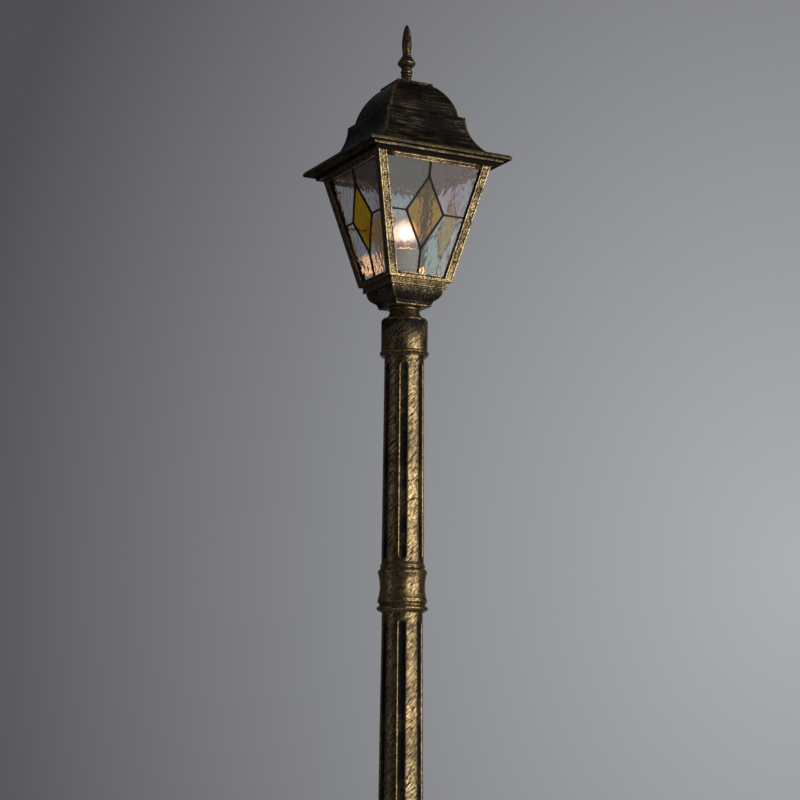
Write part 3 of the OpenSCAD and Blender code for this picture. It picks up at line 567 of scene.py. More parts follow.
# %% Turn the three rings
RING_H = 68.0
SLIM_WAIST = np.vstack([
    [[31.6, 9.5], [31.6, 11.5]], arc(32.1, 15, 2, -60, 25, 8),
    arc(91.1, RING_H / 2 + 2, 60, 197.4, 162.6, 18), arc(32.0, RING_H - 12.2, 2, -25, 65, 8),
    [[31.2, RING_H - 8.6], [30.4, RING_H - 7.8], [30.4, RING_H - 6.8]]])
FULL_WAIST = np.vstack([
    [[33.2, 9.6], [33.2, 11.6]], arc(32.3, 15, 2.2, -60, 70, 8),
    arc(126.2, RING_H / 2 + 1, 93.8, 189.0, 171.0, 14), arc(32.05, RING_H - 14.6, 2, -50, 70, 8),
    [[31.2, RING_H - 9.4], [30.2, RING_H - 8.4], [30.2, RING_H - 7]]])


def ring_outline(waist, extra, bore):
    """The ring's closed outline, anticlockwise: bore, foot, outside, head."""
    outside = np.vstack([[[28.6, 0]], arc(32.4, 5.6, 3, -70, 80, 10), waist,
                         arc(28.8, RING_H - 4.6, 2.2, -45, 45, 8), [[29.3, RING_H]]])
    outside[:, 0] += extra
    return np.vstack([[[bore, 0]], outside, [[bore, RING_H]]])


WAISTS = (FULL_WAIST, SLIM_WAIST, SLIM_WAIST)
for name, waist, extra in zip(RINGS, WAISTS, (6.0, 3.0, 0.0)):
    grid, faces, rub = turned(ring_outline(waist, extra, 15.0) + [0, low_mm(name) + SPIGOT], 0.35)
    casting("turned_" + name, [(grid, faces, rub + 0.35 * (rub > -0.1))], POST_FINISH, name)

# %% [markdown]
# ## The fluted tubes
#
# Each tube tapers and carries six shallow flutes with round ends. A flute is the mark
# of a ball-nosed cutter of radius 7 run along the wall, so its depth at a distance from
# the cutter's line is known exactly. The columns of the grid crowd together at the
# flutes' edges, so those edges stay crisp with few faces.

# %% Cut the flutes by formula
FLUTE_R, FLUTE_DEEP, FLUTE_TURN, FLUTES = 7.0, 3.2, -28.0, 6
PLAIN_FOOT, PLAIN_HEAD = 3, 9


def flute_columns():
    """Angles in degrees round the tube, from one flute's middle to the next."""
    inside = np.concatenate([np.linspace(0, 9.6, 6), [10.6, 11.3, 11.8, 12.2, 12.8, 14.0]])
    half = np.concatenate([inside, np.linspace(17, 30, 4)])
    sector = np.concatenate([half, 60 - half[-2:0:-1]])
    return (sector[None] + 60 * np.arange(FLUTES)[:, None]).ravel()


def fluted_tube(z0, length, foot_r, head_r, wall, tail=0.0):
    """Outer radius r0(z) less the cutter's depth sqrt(R^2 - u^2 - w^2) - (R - deep),
    where u is the distance round the tube from the flute's middle and w the distance
    beyond its end. A soft maximum keeps a small fillet along the flute's edge."""
    first, last = PLAIN_FOOT + FLUTE_R, length - PLAIN_HEAD - FLUTE_R
    ends = np.concatenate([[0.0, 0.9, 1.8], np.linspace(2.6, 11, 16)])
    z = np.concatenate([ends, np.linspace(14, length - 20, 26),
                        np.linspace(length - 17, length - 8.4, 16), [length - 4, length - 0.6, length]])
    ang = flute_columns()
    r0 = foot_r + (head_r - foot_r) * z / length
    off = np.radians((ang + 30) % 60 - 30)
    u = np.abs(off)[None] * r0[:, None]
    w = np.maximum(0, np.maximum(first - z, z - last))[:, None]
    inside = np.sqrt(np.maximum(0, FLUTE_R ** 2 - u ** 2 - w ** 2)) - (FLUTE_R - FLUTE_DEEP)
    depth = 0.5 * (inside + np.sqrt(inside ** 2 + 0.05))
    depth = np.where(inside < -1.2, 0, depth)
    r = r0[:, None] - depth
    near_edge = np.exp(-(inside / 0.45) ** 2) * (w < FLUTE_R)
    rub = near_edge - 0.9 * np.clip((inside - 0.4) / 1.2, 0, 1)
    if tail:
        z, r = np.append(z, length + tail), np.vstack([r, np.full(len(ang), head_r)])
        rub = np.vstack([rub, np.zeros(len(ang))])
    bore = np.array([[head_r - wall, z[-1]], [foot_r - wall, 0.0]])
    r = np.vstack([r, np.repeat(bore[:, :1], len(ang), 1)])
    rub = np.vstack([rub, np.zeros((2, len(ang)))])
    z = np.concatenate([z, bore[:, 1]])
    grid = round_grid(r, np.radians(ang + FLUTE_TURN - 90), z[:, None] + z0)
    return grid, [index_faces(len(z), len(ang), True, True)], rub


TUBE_WALL = 5.1
TUBES = {"lower_tube": (35.2, 31.0, 0.0), "middle_tube": (32.2, 28.0, 0.0),
         "upper_tube": (29.2, 27.6, 44.0)}
for name, (foot_r, head_r, tail) in TUBES.items():
    z0 = low_mm(name)
    part = fluted_tube(z0, high_mm(name) - z0 - tail, foot_r, head_r, TUBE_WALL, tail)
    casting("fluted_" + name, [part], POST_FINISH, name)

# %% [markdown]
# ## The collar under the lantern
#
# A deep sleeve slips over the top tube. It has a bead at its rim, a long plain band, a
# sloping shoulder and a narrow neck with a bead that carries the cup.

# %% Turn the collar
collar = np.vstack([
    [[27.9, 0], [31.6, 0]], arc(31.9, 5, 2.6, -70, 80, 10),
    [[32.5, 8.2], [32.45, 51.0], [31.4, 53.2], [25.2, 55.0], [22.6, 59.5], [20.8, 63.5], [20.6, 64.7]],
    arc(20.2, 67.3, 2.4, -70, 80, 10), [[20.4, 69.9], [5.2, 69.9], [5.2, 62.3], [16, 62.3]],
    [[16, 44], [27.9, 44]]])
grid, faces, rub = turned(collar + [0, Z_COLLAR], 0.35)
above_rim = grid[..., 2] - Z_COLLAR
band = (above_rim > 10) & (above_rim < 50)
casting("turned_collar", [(grid, faces, rub - 0.82 * band)], POST_FINISH, "lantern_collar")

# %% [markdown]
# ## The square cup
#
# The cup is cast like a small planter: a thin foot, a swelling quarter-round side and
# a stepped band that the frame stands on. Inside are four screw posts.

# %% Sweep the cup
CUP_H = 33.4


def cup_outline():
    """Half-widths and heights, up the outside and down the inside."""
    outside = np.vstack([[[26.9, 0], [27.9, 0.8], [27.9, 2.8]],
                         arc(22.6, 24.0, 17.8, -65, 0, 14), [[40.4, 24.6], [44.2, 24.6], [44.2, CUP_H]]])
    inside = np.vstack([[[37.0, CUP_H]], arc(22.6, 24.6, 14.4, 0, -58, 10), [[24.5, 5.4]]])
    return np.vstack([outside, inside])


def floor_plate(half, hole, low, high, around=64):
    """A square plate with a round hole: rings of points go from circle to square by
    p = (1-t) circle + t square, over the top, and back below."""
    a = full_turn(around) + np.pi / 4
    circle = hole * np.stack([np.cos(a), np.sin(a)], -1)
    square = circle / np.abs(circle).max(axis=1, keepdims=True) * half
    t = np.linspace(0, 1, 5)[:, None, None]
    spread = circle[None] * (1 - t) + square[None] * t
    both = np.concatenate([spread, spread[::-1]])
    z = np.repeat([low, high], 5)
    return with_depth(both, z[:, None, None]), [index_faces(10, around, True, True)], 0.0


grid, faces, rub = squared(cup_outline(), 0.45, corner=0.9, bare=True)
swelling = (grid[..., 2] > 3.5) & (grid[..., 2] < 24)
post_low, post_high = CUP_H - 12, CUP_H - 0.1
post = turned_solid([[0, post_low], [4.3, post_low], [4.3, post_high], [0, post_high]], 0.2, 24)
cup_parts = [(grid, faces, rub - 0.3 * swelling)]
cup_parts += [placed(post, Matrix.Translation((x, y, 0))) for x in (-32, 32) for y in (-32, 32)]
cup_parts.append(floor_plate(26.0, 5.2, 0.1, 5.3))
casting("square_cup", [lifted(part, Z_CUP) for part in cup_parts], BAR_FINISH, "lantern_cup")

# %% [markdown]
# ## The lantern's frame
#
# Four corner bars of L section lean outwards. Each leg of the L has a raised bead
# along both its edges, and the paint on the beads is worn to bright gold. The bars are
# lofted: the same section, moved out along the diagonal from foot to head. Rails run
# between them, and square rings make the shelf below and the flange above.

# %% Loft the bars and the rails
FOOT, HEAD, FRAME_H = 48.6, 88.2, 163.0
GAIN = (HEAD - FOOT) / FRAME_H
SLOPE = math.atan(GAIN)
SLOPE_L = math.hypot(HEAD - FOOT, FRAME_H)
BAR, WALL, SUNK = 12.5, 3.0, 0.55


def bar_section():
    """The L section as distances in from the corner, anticlockwise seen from above."""
    leg = np.array([[2.1, 0], [2.5, SUNK], [10.3, SUNK], [10.7, 0], [BAR, 0], [BAR, WALL]])
    inner = np.array([[WALL, WALL]])
    other = leg[::-1, ::-1]
    return np.vstack([[[0, 0]], leg, inner, other])


def corner_bar(k):
    """Section point (a, b) at height z sits at (H(z) - a, -H(z) + b), turned by k
    quarter turns; H(z) is the half-width of the frame there."""
    section, rub = soften(bar_section()[::-1], 0.3, guard=0.9, steps=4)
    depth = section.min(axis=1)
    rub = np.where(depth < 0.12, -0.8, np.where(depth > WALL - 0.5, 1.0, rub))
    z = np.concatenate([[0, 0.5], np.linspace(6, FRAME_H - 6, 12), [FRAME_H - 0.5, FRAME_H]])
    half = FOOT + GAIN * z
    x = half[:, None] - section[None, :, 0]
    y = -half[:, None] + section[None, :, 1]
    grid = np.stack([x, y, np.repeat(z[:, None], len(section), 1)], -1)
    part = grid, capped_faces(*grid.shape[:2]), np.clip(-rub, -1, 1)[None].repeat(len(z), 0)
    return placed(part, Matrix.Rotation(k * math.pi / 2, 4, "Z"))


def on_side(k, points):
    """Points (u across, v up the slope, w outwards) on side k, in the lantern."""
    u, v, w = points[..., 0], points[..., 1], points[..., 2]
    flat = np.stack([u, -FOOT - v * math.sin(SLOPE) - w * math.cos(SLOPE),
                     v * math.cos(SLOPE) - w * math.sin(SLOPE)], -1)
    turn = np.array(Matrix.Rotation(k * math.pi / 2, 3, "Z"))
    return flat @ turn.T


def rail(k, v0, v1, beads):
    """A rail along side k from slope length v0 to v1, with a bead at its edges."""
    mid = [[v0 + 1.9, SUNK], [v1 - 1.9, SUNK]] if beads == 2 else [[v0 + 0.3, SUNK], [v1 - 2.0, SUNK]]
    face = [[v0, 0], [v0 + 1.6, 0]] if beads == 2 else []
    section = np.array(face + mid + [[v1 - 1.6, 0], [v1, 0], [v1, WALL], [v0, WALL]])
    prof, rub = soften(section, 0.28, guard=0.8, steps=4)
    reach = FOOT + GAIN * math.cos(SLOPE) * prof[:, 0] - BAR + 0.6
    t = np.linspace(-1, 1, 9)
    u = reach[:, None] * t[None]
    grid = np.stack([u, np.repeat(prof[:, :1], 9, 1), np.repeat(-prof[:, 1:], 9, 1)], -1)
    caps = [(np.arange(len(prof)) * 9)[None], (np.arange(len(prof))[::-1] * 9 + 8)[None]]
    return on_side(k, grid), [index_faces(len(prof), 9, True, False)] + caps, np.repeat(rub[:, None], 9, 1)


frame_parts = [corner_bar(k) for k in range(4)]
frame_parts += [rail(k, 0.0, 7.0, 1) for k in range(4)]
frame_parts += [rail(k, SLOPE_L - 6.4, SLOPE_L - 0.2, 2) for k in range(4)]
shelf = [[32.0, 0], [FOOT - 0.05, 0], [FOOT + 0.6, 3.0], [32.0, 3.0]]
rim, brim, brim_top = HEAD - 9, HEAD + 4.4, FRAME_H + 5.6
flange = [[rim, FRAME_H], [brim, FRAME_H], [brim, brim_top], [rim, brim_top]]
frame_parts += [squared(shelf, 0.2), squared(flange, 0.4)]
casting("lantern_bars", [lifted(part, Z_FRAME) for part in frame_parts], BAR_FINISH, "lantern_frame")
print("sides lean", round(math.degrees(SLOPE), 2), "degrees")

# %% [markdown]
# ## The roof
#
# The roof is one thin casting: a moulded eave, a flare like a pagoda's, a small ledge,
# a dome and a flat cap, with a skirt inside the eave that drops round the frame. The
# same arcs as in the CAD source make it, with more points, a stepped soffit and the
# ribs along the four hips.

# %% Sweep the roof
LEDGE, LEDGE_Z, DOME_FOOT, CAP = 61.0, 65.5, 54.6, 27.5
FLARE_R, DOME_R, ROOF_WALL = 74.0, 79.0, 3.0
FLARE_OUT, FLARE_IN = 84.0, 82.0
FLARE_MID = (LEDGE + 74.5, LEDGE_Z + 2.7)
DOME_MID = (DOME_FOOT - math.sqrt(DOME_R ** 2 - 7.5 ** 2), LEDGE_Z - 6)
CAP_Z = Z_CAP - Z_SEAT


def flare(x, grow=0.0):
    """Height of the flare at half-width x: the lower side of a circle."""
    return FLARE_MID[1] - np.sqrt((FLARE_R + grow) ** 2 - (FLARE_MID[0] - x) ** 2)


def dome(x, shrink=0.0):
    """Height of the dome at half-width x: the upper side of a circle."""
    return DOME_MID[1] + np.sqrt((DOME_R - shrink) ** 2 - (x - DOME_MID[0]) ** 2)


def roof_outline():
    """Up the outside from the skirt to the cap, and down the inside again."""
    e = np.sin(np.linspace(0, np.pi / 2, 22))
    up = FLARE_OUT - (FLARE_OUT - LEDGE - 0.5) * e
    over = DOME_FOOT - (DOME_FOOT - CAP) * (1 - np.cos(np.linspace(0.07, np.pi / 2, 20)))
    outside = np.vstack([
        [[93.0, -6.3], [96.0, -6.3], [96.0, -1.9], [100.9, -1.9], [101.3, 1.5], [107.0, 2.6], [107.0, 0.8],
         [109.4, 0.8], [110.0, 2.2], [110.0, 5.3], [108.9, 6.1], [108.2, 7.5], [105.4, 7.9]],
        np.stack([up, flare(up)], -1), [[LEDGE, LEDGE_Z - 0.6], [DOME_FOOT, LEDGE_Z + 1]],
        np.stack([over, dome(over)], -1),
        [[CAP + 0.4, CAP_Z - 3.3], [CAP + 0.4, CAP_Z - 0.8], [CAP - 0.4, CAP_Z], [3.2, CAP_Z]]])
    back = DOME_FOOT - 3.6 - (DOME_FOOT - CAP - 1) * (1 - np.cos(np.linspace(np.pi / 2, 0.1, 12)))
    down = FLARE_IN - (FLARE_IN - LEDGE + 2.0) * np.sin(np.linspace(np.pi / 2, 0, 12))
    inside = np.vstack([
        [[3.2, CAP_Z - 6.0], [CAP - 2, CAP_Z - 6.6]], np.stack([back, dome(back, ROOF_WALL) - 0.4], -1),
        [[DOME_FOOT - 3.6, LEDGE_Z - 3.4], [LEDGE - 3, LEDGE_Z - 4.6]],
        np.stack([down, flare(down, ROOF_WALL)], -1), [[88.0, 6.8], [88.0, 0], [93.0, 0]]])
    return np.vstack([outside, inside])


def hip_rib(prof):
    """The rib stands 0.7 mm proud on the flare and the dome, and dies out at the ends."""
    outer = np.arange(len(prof)) < np.argmax(prof[:, 1]) + 1
    z = prof[:, 1]
    return 0.7 * outer * np.clip((z - 8.5) / 3, 0, 1) * np.clip((CAP_Z - 4.5 - z) / 2, 0, 1)


grid, faces, rub = squared(roof_outline(), 0.4, corner=0.8, rib_width=2.6, rib=hip_rib, bare=True)
level, half_width = grid[..., 2], np.abs(grid[..., :2]).max(-1)
fascia = (level > 1.8) & (level < 5.6) & (half_width > 109)
member = (level > -1.7) & (level < 1.3) & (np.abs(half_width - 101.1) < 0.6)
# Gold is taken off below 1.2 mm, on the soffit and the skirt under the eave: painted shade under the eave.
# The fascia and the member below it keep bright edges.
rub = np.where(member, 0.5, np.where(level < 1.2, -0.7, np.where(fascia, 0.45, rub)))
casting("cast_roof", [lifted((grid, faces, rub), Z_SEAT)], ROOF_FINISH, "roof_shell", body="roof")

# %% [markdown]
# ## The finial
#
# A spear on a stack of beads, turned in one piece. Its outline is softened more than
# the post's, because a small casting loses its edges in the mould.

# %% Turn the finial
FINIAL_H = 92.4


def spear(t):
    """Radius of the spear: a slow swelling that closes like a candle flame."""
    swell = 0.86 + 0.14 * np.sin(np.pi / 2 * np.minimum(t / 0.3, 1))
    return 0.3 + 6.9 * (1 - t ** 2.4) ** 0.62 * swell


t = np.sin(np.linspace(0, 1.53, 26))
finial = np.vstack([
    [[0, 0], [8.6, 0], [8.6, 2], [7.2, 4], [6.9, 9], [7.0, 14.2], [8.2, 14.9], [8.2, 16.2], [7.0, 16.9]],
    arc(5.6, 20.8, 3, -60, 60, 8), [[7, 24.6], [7.4, 27.4], [11.2, 30.4], [12.9, 32.8]],
    [[13.1, 34.4], [12.2, 36.2], [9.2, 40.2], [7.2, 44.0]],
    arc(4.9, 46.4, 1.4, -60, 60, 6), [[5.5, 48.2]], arc(5.0, 49.4, 1.1, -60, 60, 5), [[5.9, 51.0]],
    np.stack([spear(t), 52.2 + (FINIAL_H - 52.4) * t], -1), [[0, FINIAL_H]]])
casting("turned_finial", [lifted(turned_solid(finial, 0.5, 72), Z_CAP)], POST_FINISH, body="roof")
stud = turned_solid([[0, -17], [2.6, -17], [2.8, -16.4], [2.8, 0.5], [0, 0.5]], 0.2, 32)
casting("finial_stud", [lifted(stud, Z_CAP)], POST_FINISH, "finial", body="roof")

# %% [markdown]
# ## The bell base
#
# The photo ends above the base, so this one follows the rest of the lamp: the same
# beads and coves, a swelling shaft and a round flange with four bolt holes. The holes
# are drilled with a Boolean modifier, because a turned grid has none.

# %% Turn the base and drill it
SHAFT_R, SHAFT_FOOT, SHAFT_HEAD, BASE_WALL = 35.7, 78, 190, 5.5
FLANGE_R, MOUTH_R, SOCKET_TOP = 105, 70, 232


def base_shaft(z):
    """The bell's concave side: 35.7 + 14 (1 - s)^2 as s goes from foot to neck."""
    return SHAFT_R + 14 * (1 - (z - SHAFT_FOOT) / (SHAFT_HEAD - SHAFT_FOOT)) ** 2


def base_outline():
    """Closed outline: underside, outside up, socket and the hollow bell down again."""
    up = np.linspace(SHAFT_FOOT, SHAFT_HEAD, 18)
    outside = np.vstack([
        [[MOUTH_R, 0], [FLANGE_R, 0], [FLANGE_R, 7.0], [102.6, 9.6], [98, 10]],
        [[83, 10.2], [82.2, 11], [82.2, 15.4], [79, 16]],
        arc(74, 24, 8, -70, 90, 10), arc(76, 66, 28, 258, 185, 14), arc(48, 69.5, 5, -70, 70, 10),
        np.stack([base_shaft(up), up], -1), [[SHAFT_R, 195.4]], arc(36.7, 201, 5, -80, 80, 10),
        [[34.8, 207], [34.2, 210], [34.2, SOCKET_TOP]]])
    down = np.linspace(SHAFT_HEAD, 95, 10)
    inside = np.vstack([
        [[28.7, SOCKET_TOP], [28.7, 205], [27.7, 205], [27.7, 198]],
        np.stack([base_shaft(down) - BASE_WALL, down], -1), [[44, 62], [58, 40], [66, 30], [MOUTH_R, 15]]])
    return np.vstack([outside, inside])


base = casting("bell_base", [turned(base_outline(), 0.6, 128)], POST_FINISH, "base_casting")


def drill(piece, centre, radius, depth):
    """Cuts a round hole with an exact Boolean, and keeps only the result."""
    bpy.ops.mesh.primitive_cylinder_add(vertices=48, radius=radius * MM, depth=depth * MM,
                                        location=[c * MM for c in centre])
    cutter = bpy.context.object
    mod = piece.modifiers.new("hole", "BOOLEAN")
    mod.operation, mod.object, mod.solver = "DIFFERENCE", cutter, "EXACT"
    bpy.context.view_layer.update()
    cut = bpy.data.meshes.new_from_object(piece.evaluated_get(bpy.context.evaluated_depsgraph_get()))
    piece.modifiers.clear()
    old, piece.data = piece.data, cut
    bpy.data.meshes.remove(old)
    bpy.data.objects.remove(cutter)


BOLT_CIRCLE_R, BOLT_HOLE_R = 91, 5
for k in range(4):
    a = math.radians(45 + 90 * k)
    drill(base, (BOLT_CIRCLE_R * math.cos(a), BOLT_CIRCLE_R * math.sin(a), 5), BOLT_HOLE_R, 30)
print("base has", len(base.data.polygons), "faces and four bolt holes")

# %% [markdown]
# ## Lead cames
#
# Strips of lead hold the glass. Each is a low rounded ridge inside and out, with a
# blob of solder where strips meet. A strip is a small half-round section carried along
# a straight line; the pattern is a diamond with a ray from each point.

# %% Lay the cames
SHIFT, DIAMOND_W, DIAMOND_H, DIAMOND_V = -4.0, 29.0, 50.0, 91.0
EDGE_IN, PANE_FOOT = 9.8, 3.8
GLASS_OUT, GLASS_T, CAME_IN = 4.0, 2.2, 7.0
PANE_HEAD = SLOPE_L - 0.3 - CAME_IN * math.tan(SLOPE)


def pane_half(v):
    """Half the pane's width at slope length v."""
    return FOOT + v * (HEAD - FOOT) / SLOPE_L - EDGE_IN


DIAMOND = np.array([[SHIFT, DIAMOND_V + DIAMOND_H], [SHIFT + DIAMOND_W, DIAMOND_V],
                    [SHIFT, DIAMOND_V - DIAMOND_H], [SHIFT - DIAMOND_W, DIAMOND_V]])
RAYS = np.array([[SHIFT, PANE_HEAD], [pane_half(DIAMOND_V), DIAMOND_V],
                 [SHIFT, PANE_FOOT], [-pane_half(DIAMOND_V), DIAMOND_V]])


def ridge(k, start, end, width, low, high):
    """A closed bar from start to end on side k. Its section is a superellipse that is
    width across and reaches from depth low to depth high."""
    a = full_turn(16)
    across = width / 2 * np.sign(np.cos(a)) * np.abs(np.cos(a)) ** 0.8
    deep = (low + high) / 2 + (high - low) / 2 * np.sign(np.sin(a)) * np.abs(np.sin(a)) ** 0.8
    start, end = np.array(start, float), np.array(end, float)
    along = (end - start) / np.hypot(*(end - start))
    side = np.array([-along[1], along[0]])
    stops = start + (end - start) * np.linspace(0, 1, 7)[:, None]
    uv = stops[:, None] + side * across[None, :, None]
    return on_side(k, with_depth(uv, deep[None, :, None])), capped_faces(7, 16), 0.3


def solder(k, at, size, low, high):
    """A flattened blob where strips meet: a squashed sphere with closed poles."""
    s = np.linspace(-np.pi / 2, np.pi / 2, 9)
    prof = np.stack([size * np.cos(s), (low + high) / 2 + (high - low) / 2 * np.sin(s)], -1)
    prof[0, 0] = prof[-1, 0] = 0
    points, faces, _ = turned_solid(prof, 0.1, 20)
    points = points + [at[0], at[1], 0]
    return on_side(k, points), faces, 0.6


def lead_panel(k):
    """All the strips of side k: diamond, rays and border, outside and inside."""
    parts = []
    outer, inner = (-GLASS_OUT - 0.1, -GLASS_OUT + 0.8), (-CAME_IN, -CAME_IN + 0.9)
    v0, v1 = PANE_FOOT + 1.7, PANE_HEAD - 1.7
    u0, u1 = pane_half(v0) - 1.7, pane_half(v1) - 1.7
    rim = [(-u0, v0), (u0, v0), (u1, v1), (-u1, v1)]
    for low, high in (outer, inner):
        for i in range(4):
            parts.append(ridge(k, DIAMOND[i], DIAMOND[(i + 1) % 4], 2.6, low, high))
            parts.append(ridge(k, DIAMOND[i], RAYS[i], 2.6, low, high))
            parts.append(ridge(k, rim[i], rim[(i + 1) % 4], 3.3, low, high))
            parts.append(solder(k, DIAMOND[i], 2.3, low - 0.05, high + 0.15))
            parts.append(solder(k, rim[i], 1.8, low, high))
    return parts


SIDES = ("front", "right", "back", "left")


def build_lead():
    """Blackened lead: dark grey with a dull shine and small dents."""
    mat, tree, shader, coords = base_material("blackened_lead")
    dents = cloud(tree, coords, 500.0, 3.0, 0.6)
    black, grey = (0.012, 0.010, 0.009, 1), (0.05, 0.042, 0.034, 1)
    wire(tree, shader, {"Base Color": blend(tree, ramp(tree, dents, 0.35, 0.75), black, grey),
                        "Roughness": ramp(tree, dents, 0.3, 0.7, 0.5, 0.7)})
    relief(tree, shader, dents, 0.3, 0.0003)
    return mat


LEAD = build_lead()
for k, side in enumerate(SIDES):
    parts = [lifted(part, Z_FRAME) for part in lead_panel(k)]
    make_piece("lead_" + side, parts, LEAD, replaces=["came_" + side])

# %% [markdown]
# ## Wavy glass
#
# The glass is hand-made in character: both its faces ripple, mostly as upright ridges
# a few millimetres apart, so whatever is behind it breaks up into ragged streaks. Two
# faces that differ make the slab a weak lens everywhere. The ripple is a sum of waves
# whose ridges lean and wander a little.

# %% Ripple the panes by formula
def ripple(u, v, rng, count=11):
    """Sum of a sin(2 pi (u cos b + v sin b) / L + p + m sin(2 pi v / M + q)), with
    wavelengths L of 3.5 to 12 mm and directions b mostly within 25 degrees of level."""
    total = np.zeros(np.broadcast(u, v).shape)
    for _ in range(count):
        length, lean = rng.uniform(3.5, 12), math.radians(rng.normal(0, 14))
        wander, period = rng.uniform(0.8, 2.2), rng.uniform(14, 40)
        phase, other = rng.uniform(0, 2 * math.pi, 2)
        wave = 2 * np.pi * (u * math.cos(lean) + v * math.sin(lean)) / length
        bend = wander * np.sin(2 * np.pi * v / period + other)
        total += length / 10 * np.sin(wave + phase + bend)
    return total / math.sqrt(count)


RIPPLE_HEIGHT = 0.075


def glass_piece(k, left, right, rng, cells=72):
    """A slab between two side lines. left and right are polylines from the bottom to
    the top; a point is (1-s) left(t) + s right(t), once for each face."""
    s = np.linspace(0, 1, cells)

    def along(line):
        line = np.asarray(line, float)
        share = np.linspace(0, 1, len(line))
        return np.stack([np.interp(s, share, line[:, 0]), np.interp(s, share, line[:, 1])], -1)

    a, b = along(left), along(right)
    uv = a[:, None] * (1 - s[None, :, None]) + b[:, None] * s[None, :, None]
    front = -GLASS_OUT - 0.1 + RIPPLE_HEIGHT * ripple(uv[..., 0], uv[..., 1], rng)
    back = -GLASS_OUT - GLASS_T + 0.1 + RIPPLE_HEIGHT * ripple(uv[..., 0], uv[..., 1], rng)
    outer, inner = with_depth(uv, front[..., None]), with_depth(uv, back[..., None])
    quads = index_faces(cells, cells, False, False)
    n = cells * cells
    rim = np.concatenate([np.arange(cells), cells * np.arange(1, cells) + cells - 1,
                          n - 2 - np.arange(cells - 1), (n - 2 * cells) - cells * np.arange(cells - 2)])
    nxt = np.roll(rim, -1)
    walls = np.stack([rim, rim + n, nxt + n, nxt], -1)
    points = np.concatenate([outer.reshape(-1, 3), inner.reshape(-1, 3)])
    return on_side(k, points), [quads, quads[:, ::-1] + n, walls], 0.0


def pane_pieces():
    """The five pieces of a pane, each as (left line, right line), in mm."""
    foot, head = PANE_FOOT + 1.2, PANE_HEAD - 1.2
    hf, hh, hm = pane_half(foot) - 1.2, pane_half(head) - 1.2, pane_half(DIAMOND_V) - 1.2
    top, east, low, west = DIAMOND
    return {
        "top_left": ([(-hm, DIAMOND_V), (-hh, head)], [west, top, (SHIFT, head)]),
        "top_right": ([east, top, (SHIFT, head)], [(hm, DIAMOND_V), (hh, head)]),
        "low_left": ([(-hf, foot), (-hm, DIAMOND_V)], [(SHIFT, foot), low, west]),
        "low_right": ([(SHIFT, foot), low, east], [(hf, foot), (hm, DIAMOND_V)]),
        "amber": ([low, west], [east, top]),
    }


# %% [markdown]
# ## Glass as a material
#
# The panes are real refracting glass with a little colour, so the Principled shader
# carries them alone. Lamps would not reach through it, so rays that go to a lamp see a
# tinted film instead. Rolling marks too fine for the mesh are a bump.

# %% Mix the glass colours
def glass(name, tint, shade, streak=None):
    """Clear coloured glass, a little cloudy, or with a brown streak up its middle. shade
    is what a lamp's ray keeps as it passes through."""
    mat, tree, shader, coords = base_material(name)
    clear = tint + (1,)
    if streak:
        wander = calc(tree, "MULTIPLY_ADD", cloud(tree, coords, 26.0, 2.0), 0.024, -0.009)
        place = put(tree, "ShaderNodeSeparateXYZ", {0: coords}).outputs[0]
        off = calc(tree, "ABSOLUTE", calc(tree, "ADD", place, wander))
        colour = blend(tree, ramp(tree, off, 0.001, 0.008, 0.9, 0.0), clear, streak + (1,))
    else:
        cloudy = tuple(0.93 * c for c in tint) + (1,)
        colour = blend(tree, ramp(tree, cloud(tree, coords, 30.0, 2.0), 0.5, 0.8), clear, cloudy)
    wire(tree, shader, {"Base Color": colour, "Transmission Weight": 1.0, "IOR": 1.48,
                        "Specular IOR Level": 0.25, "Roughness": 0.02})
    marks = put(tree, "ShaderNodeMapping", {"Vector": coords, "Scale": (420.0, 420.0, 90.0)})
    relief(tree, shader, cloud(tree, marks.outputs[0], 1.0, 1.0), 0.5, 0.00005)
    film = put(tree, "ShaderNodeBsdfTransparent", {"Color": shade + (1,)}).outputs[0]
    is_shadow = tree.nodes.new("ShaderNodeLightPath").outputs["Is Shadow Ray"]
    wire(tree, node_of(tree, "OUTPUT_MATERIAL"),
         {"Surface": shader_mix(tree, is_shadow, shader.outputs[0], film)})
    print("glass", name)
    return mat


GLASS = {
    "top_left": glass("glass_grey_green", (0.80, 0.87, 0.90), (0.80, 0.85, 0.86)),
    "top_right": glass("glass_pale_violet", (0.95, 0.85, 0.93), (0.86, 0.80, 0.86)),
    "low_left": glass("glass_clear", (0.97, 0.96, 0.97), (0.88, 0.88, 0.88)),
    "low_right": glass("glass_sea_green", (0.84, 0.97, 0.94), (0.78, 0.86, 0.84)),
    "amber": glass("glass_amber", (0.82, 0.48, 0.06), (0.80, 0.52, 0.16), (0.50, 0.28, 0.17)),
    # The grey and yellow glass are darker copies of the clear and amber glass: painted shade for the left
    # panel.
    "yellow": glass("glass_amber_painted_shade", (0.62, 0.36, 0.012), (0.76, 0.50, 0.10)),
    "grey": glass("glass_grey", (0.70, 0.68, 0.69), (0.78, 0.77, 0.78)),
}

# %% [markdown]
# ## Five pieces to a panel
#
# The glazier cuts each panel from five pieces and sets them by colour: cool greys and
# a pale violet above, clear and sea green below, an amber diamond in the middle. The
# left panel is given darker copies of the glass, as painted shade for the side the lamps
# leave in shade. All twenty pieces come from one function and one row of random
# numbers, so the ripples differ from piece to piece and are the same in every run.

# %% Set the glass in the four panels
CLEAR_PANEL = {"top_right": "low_left"}
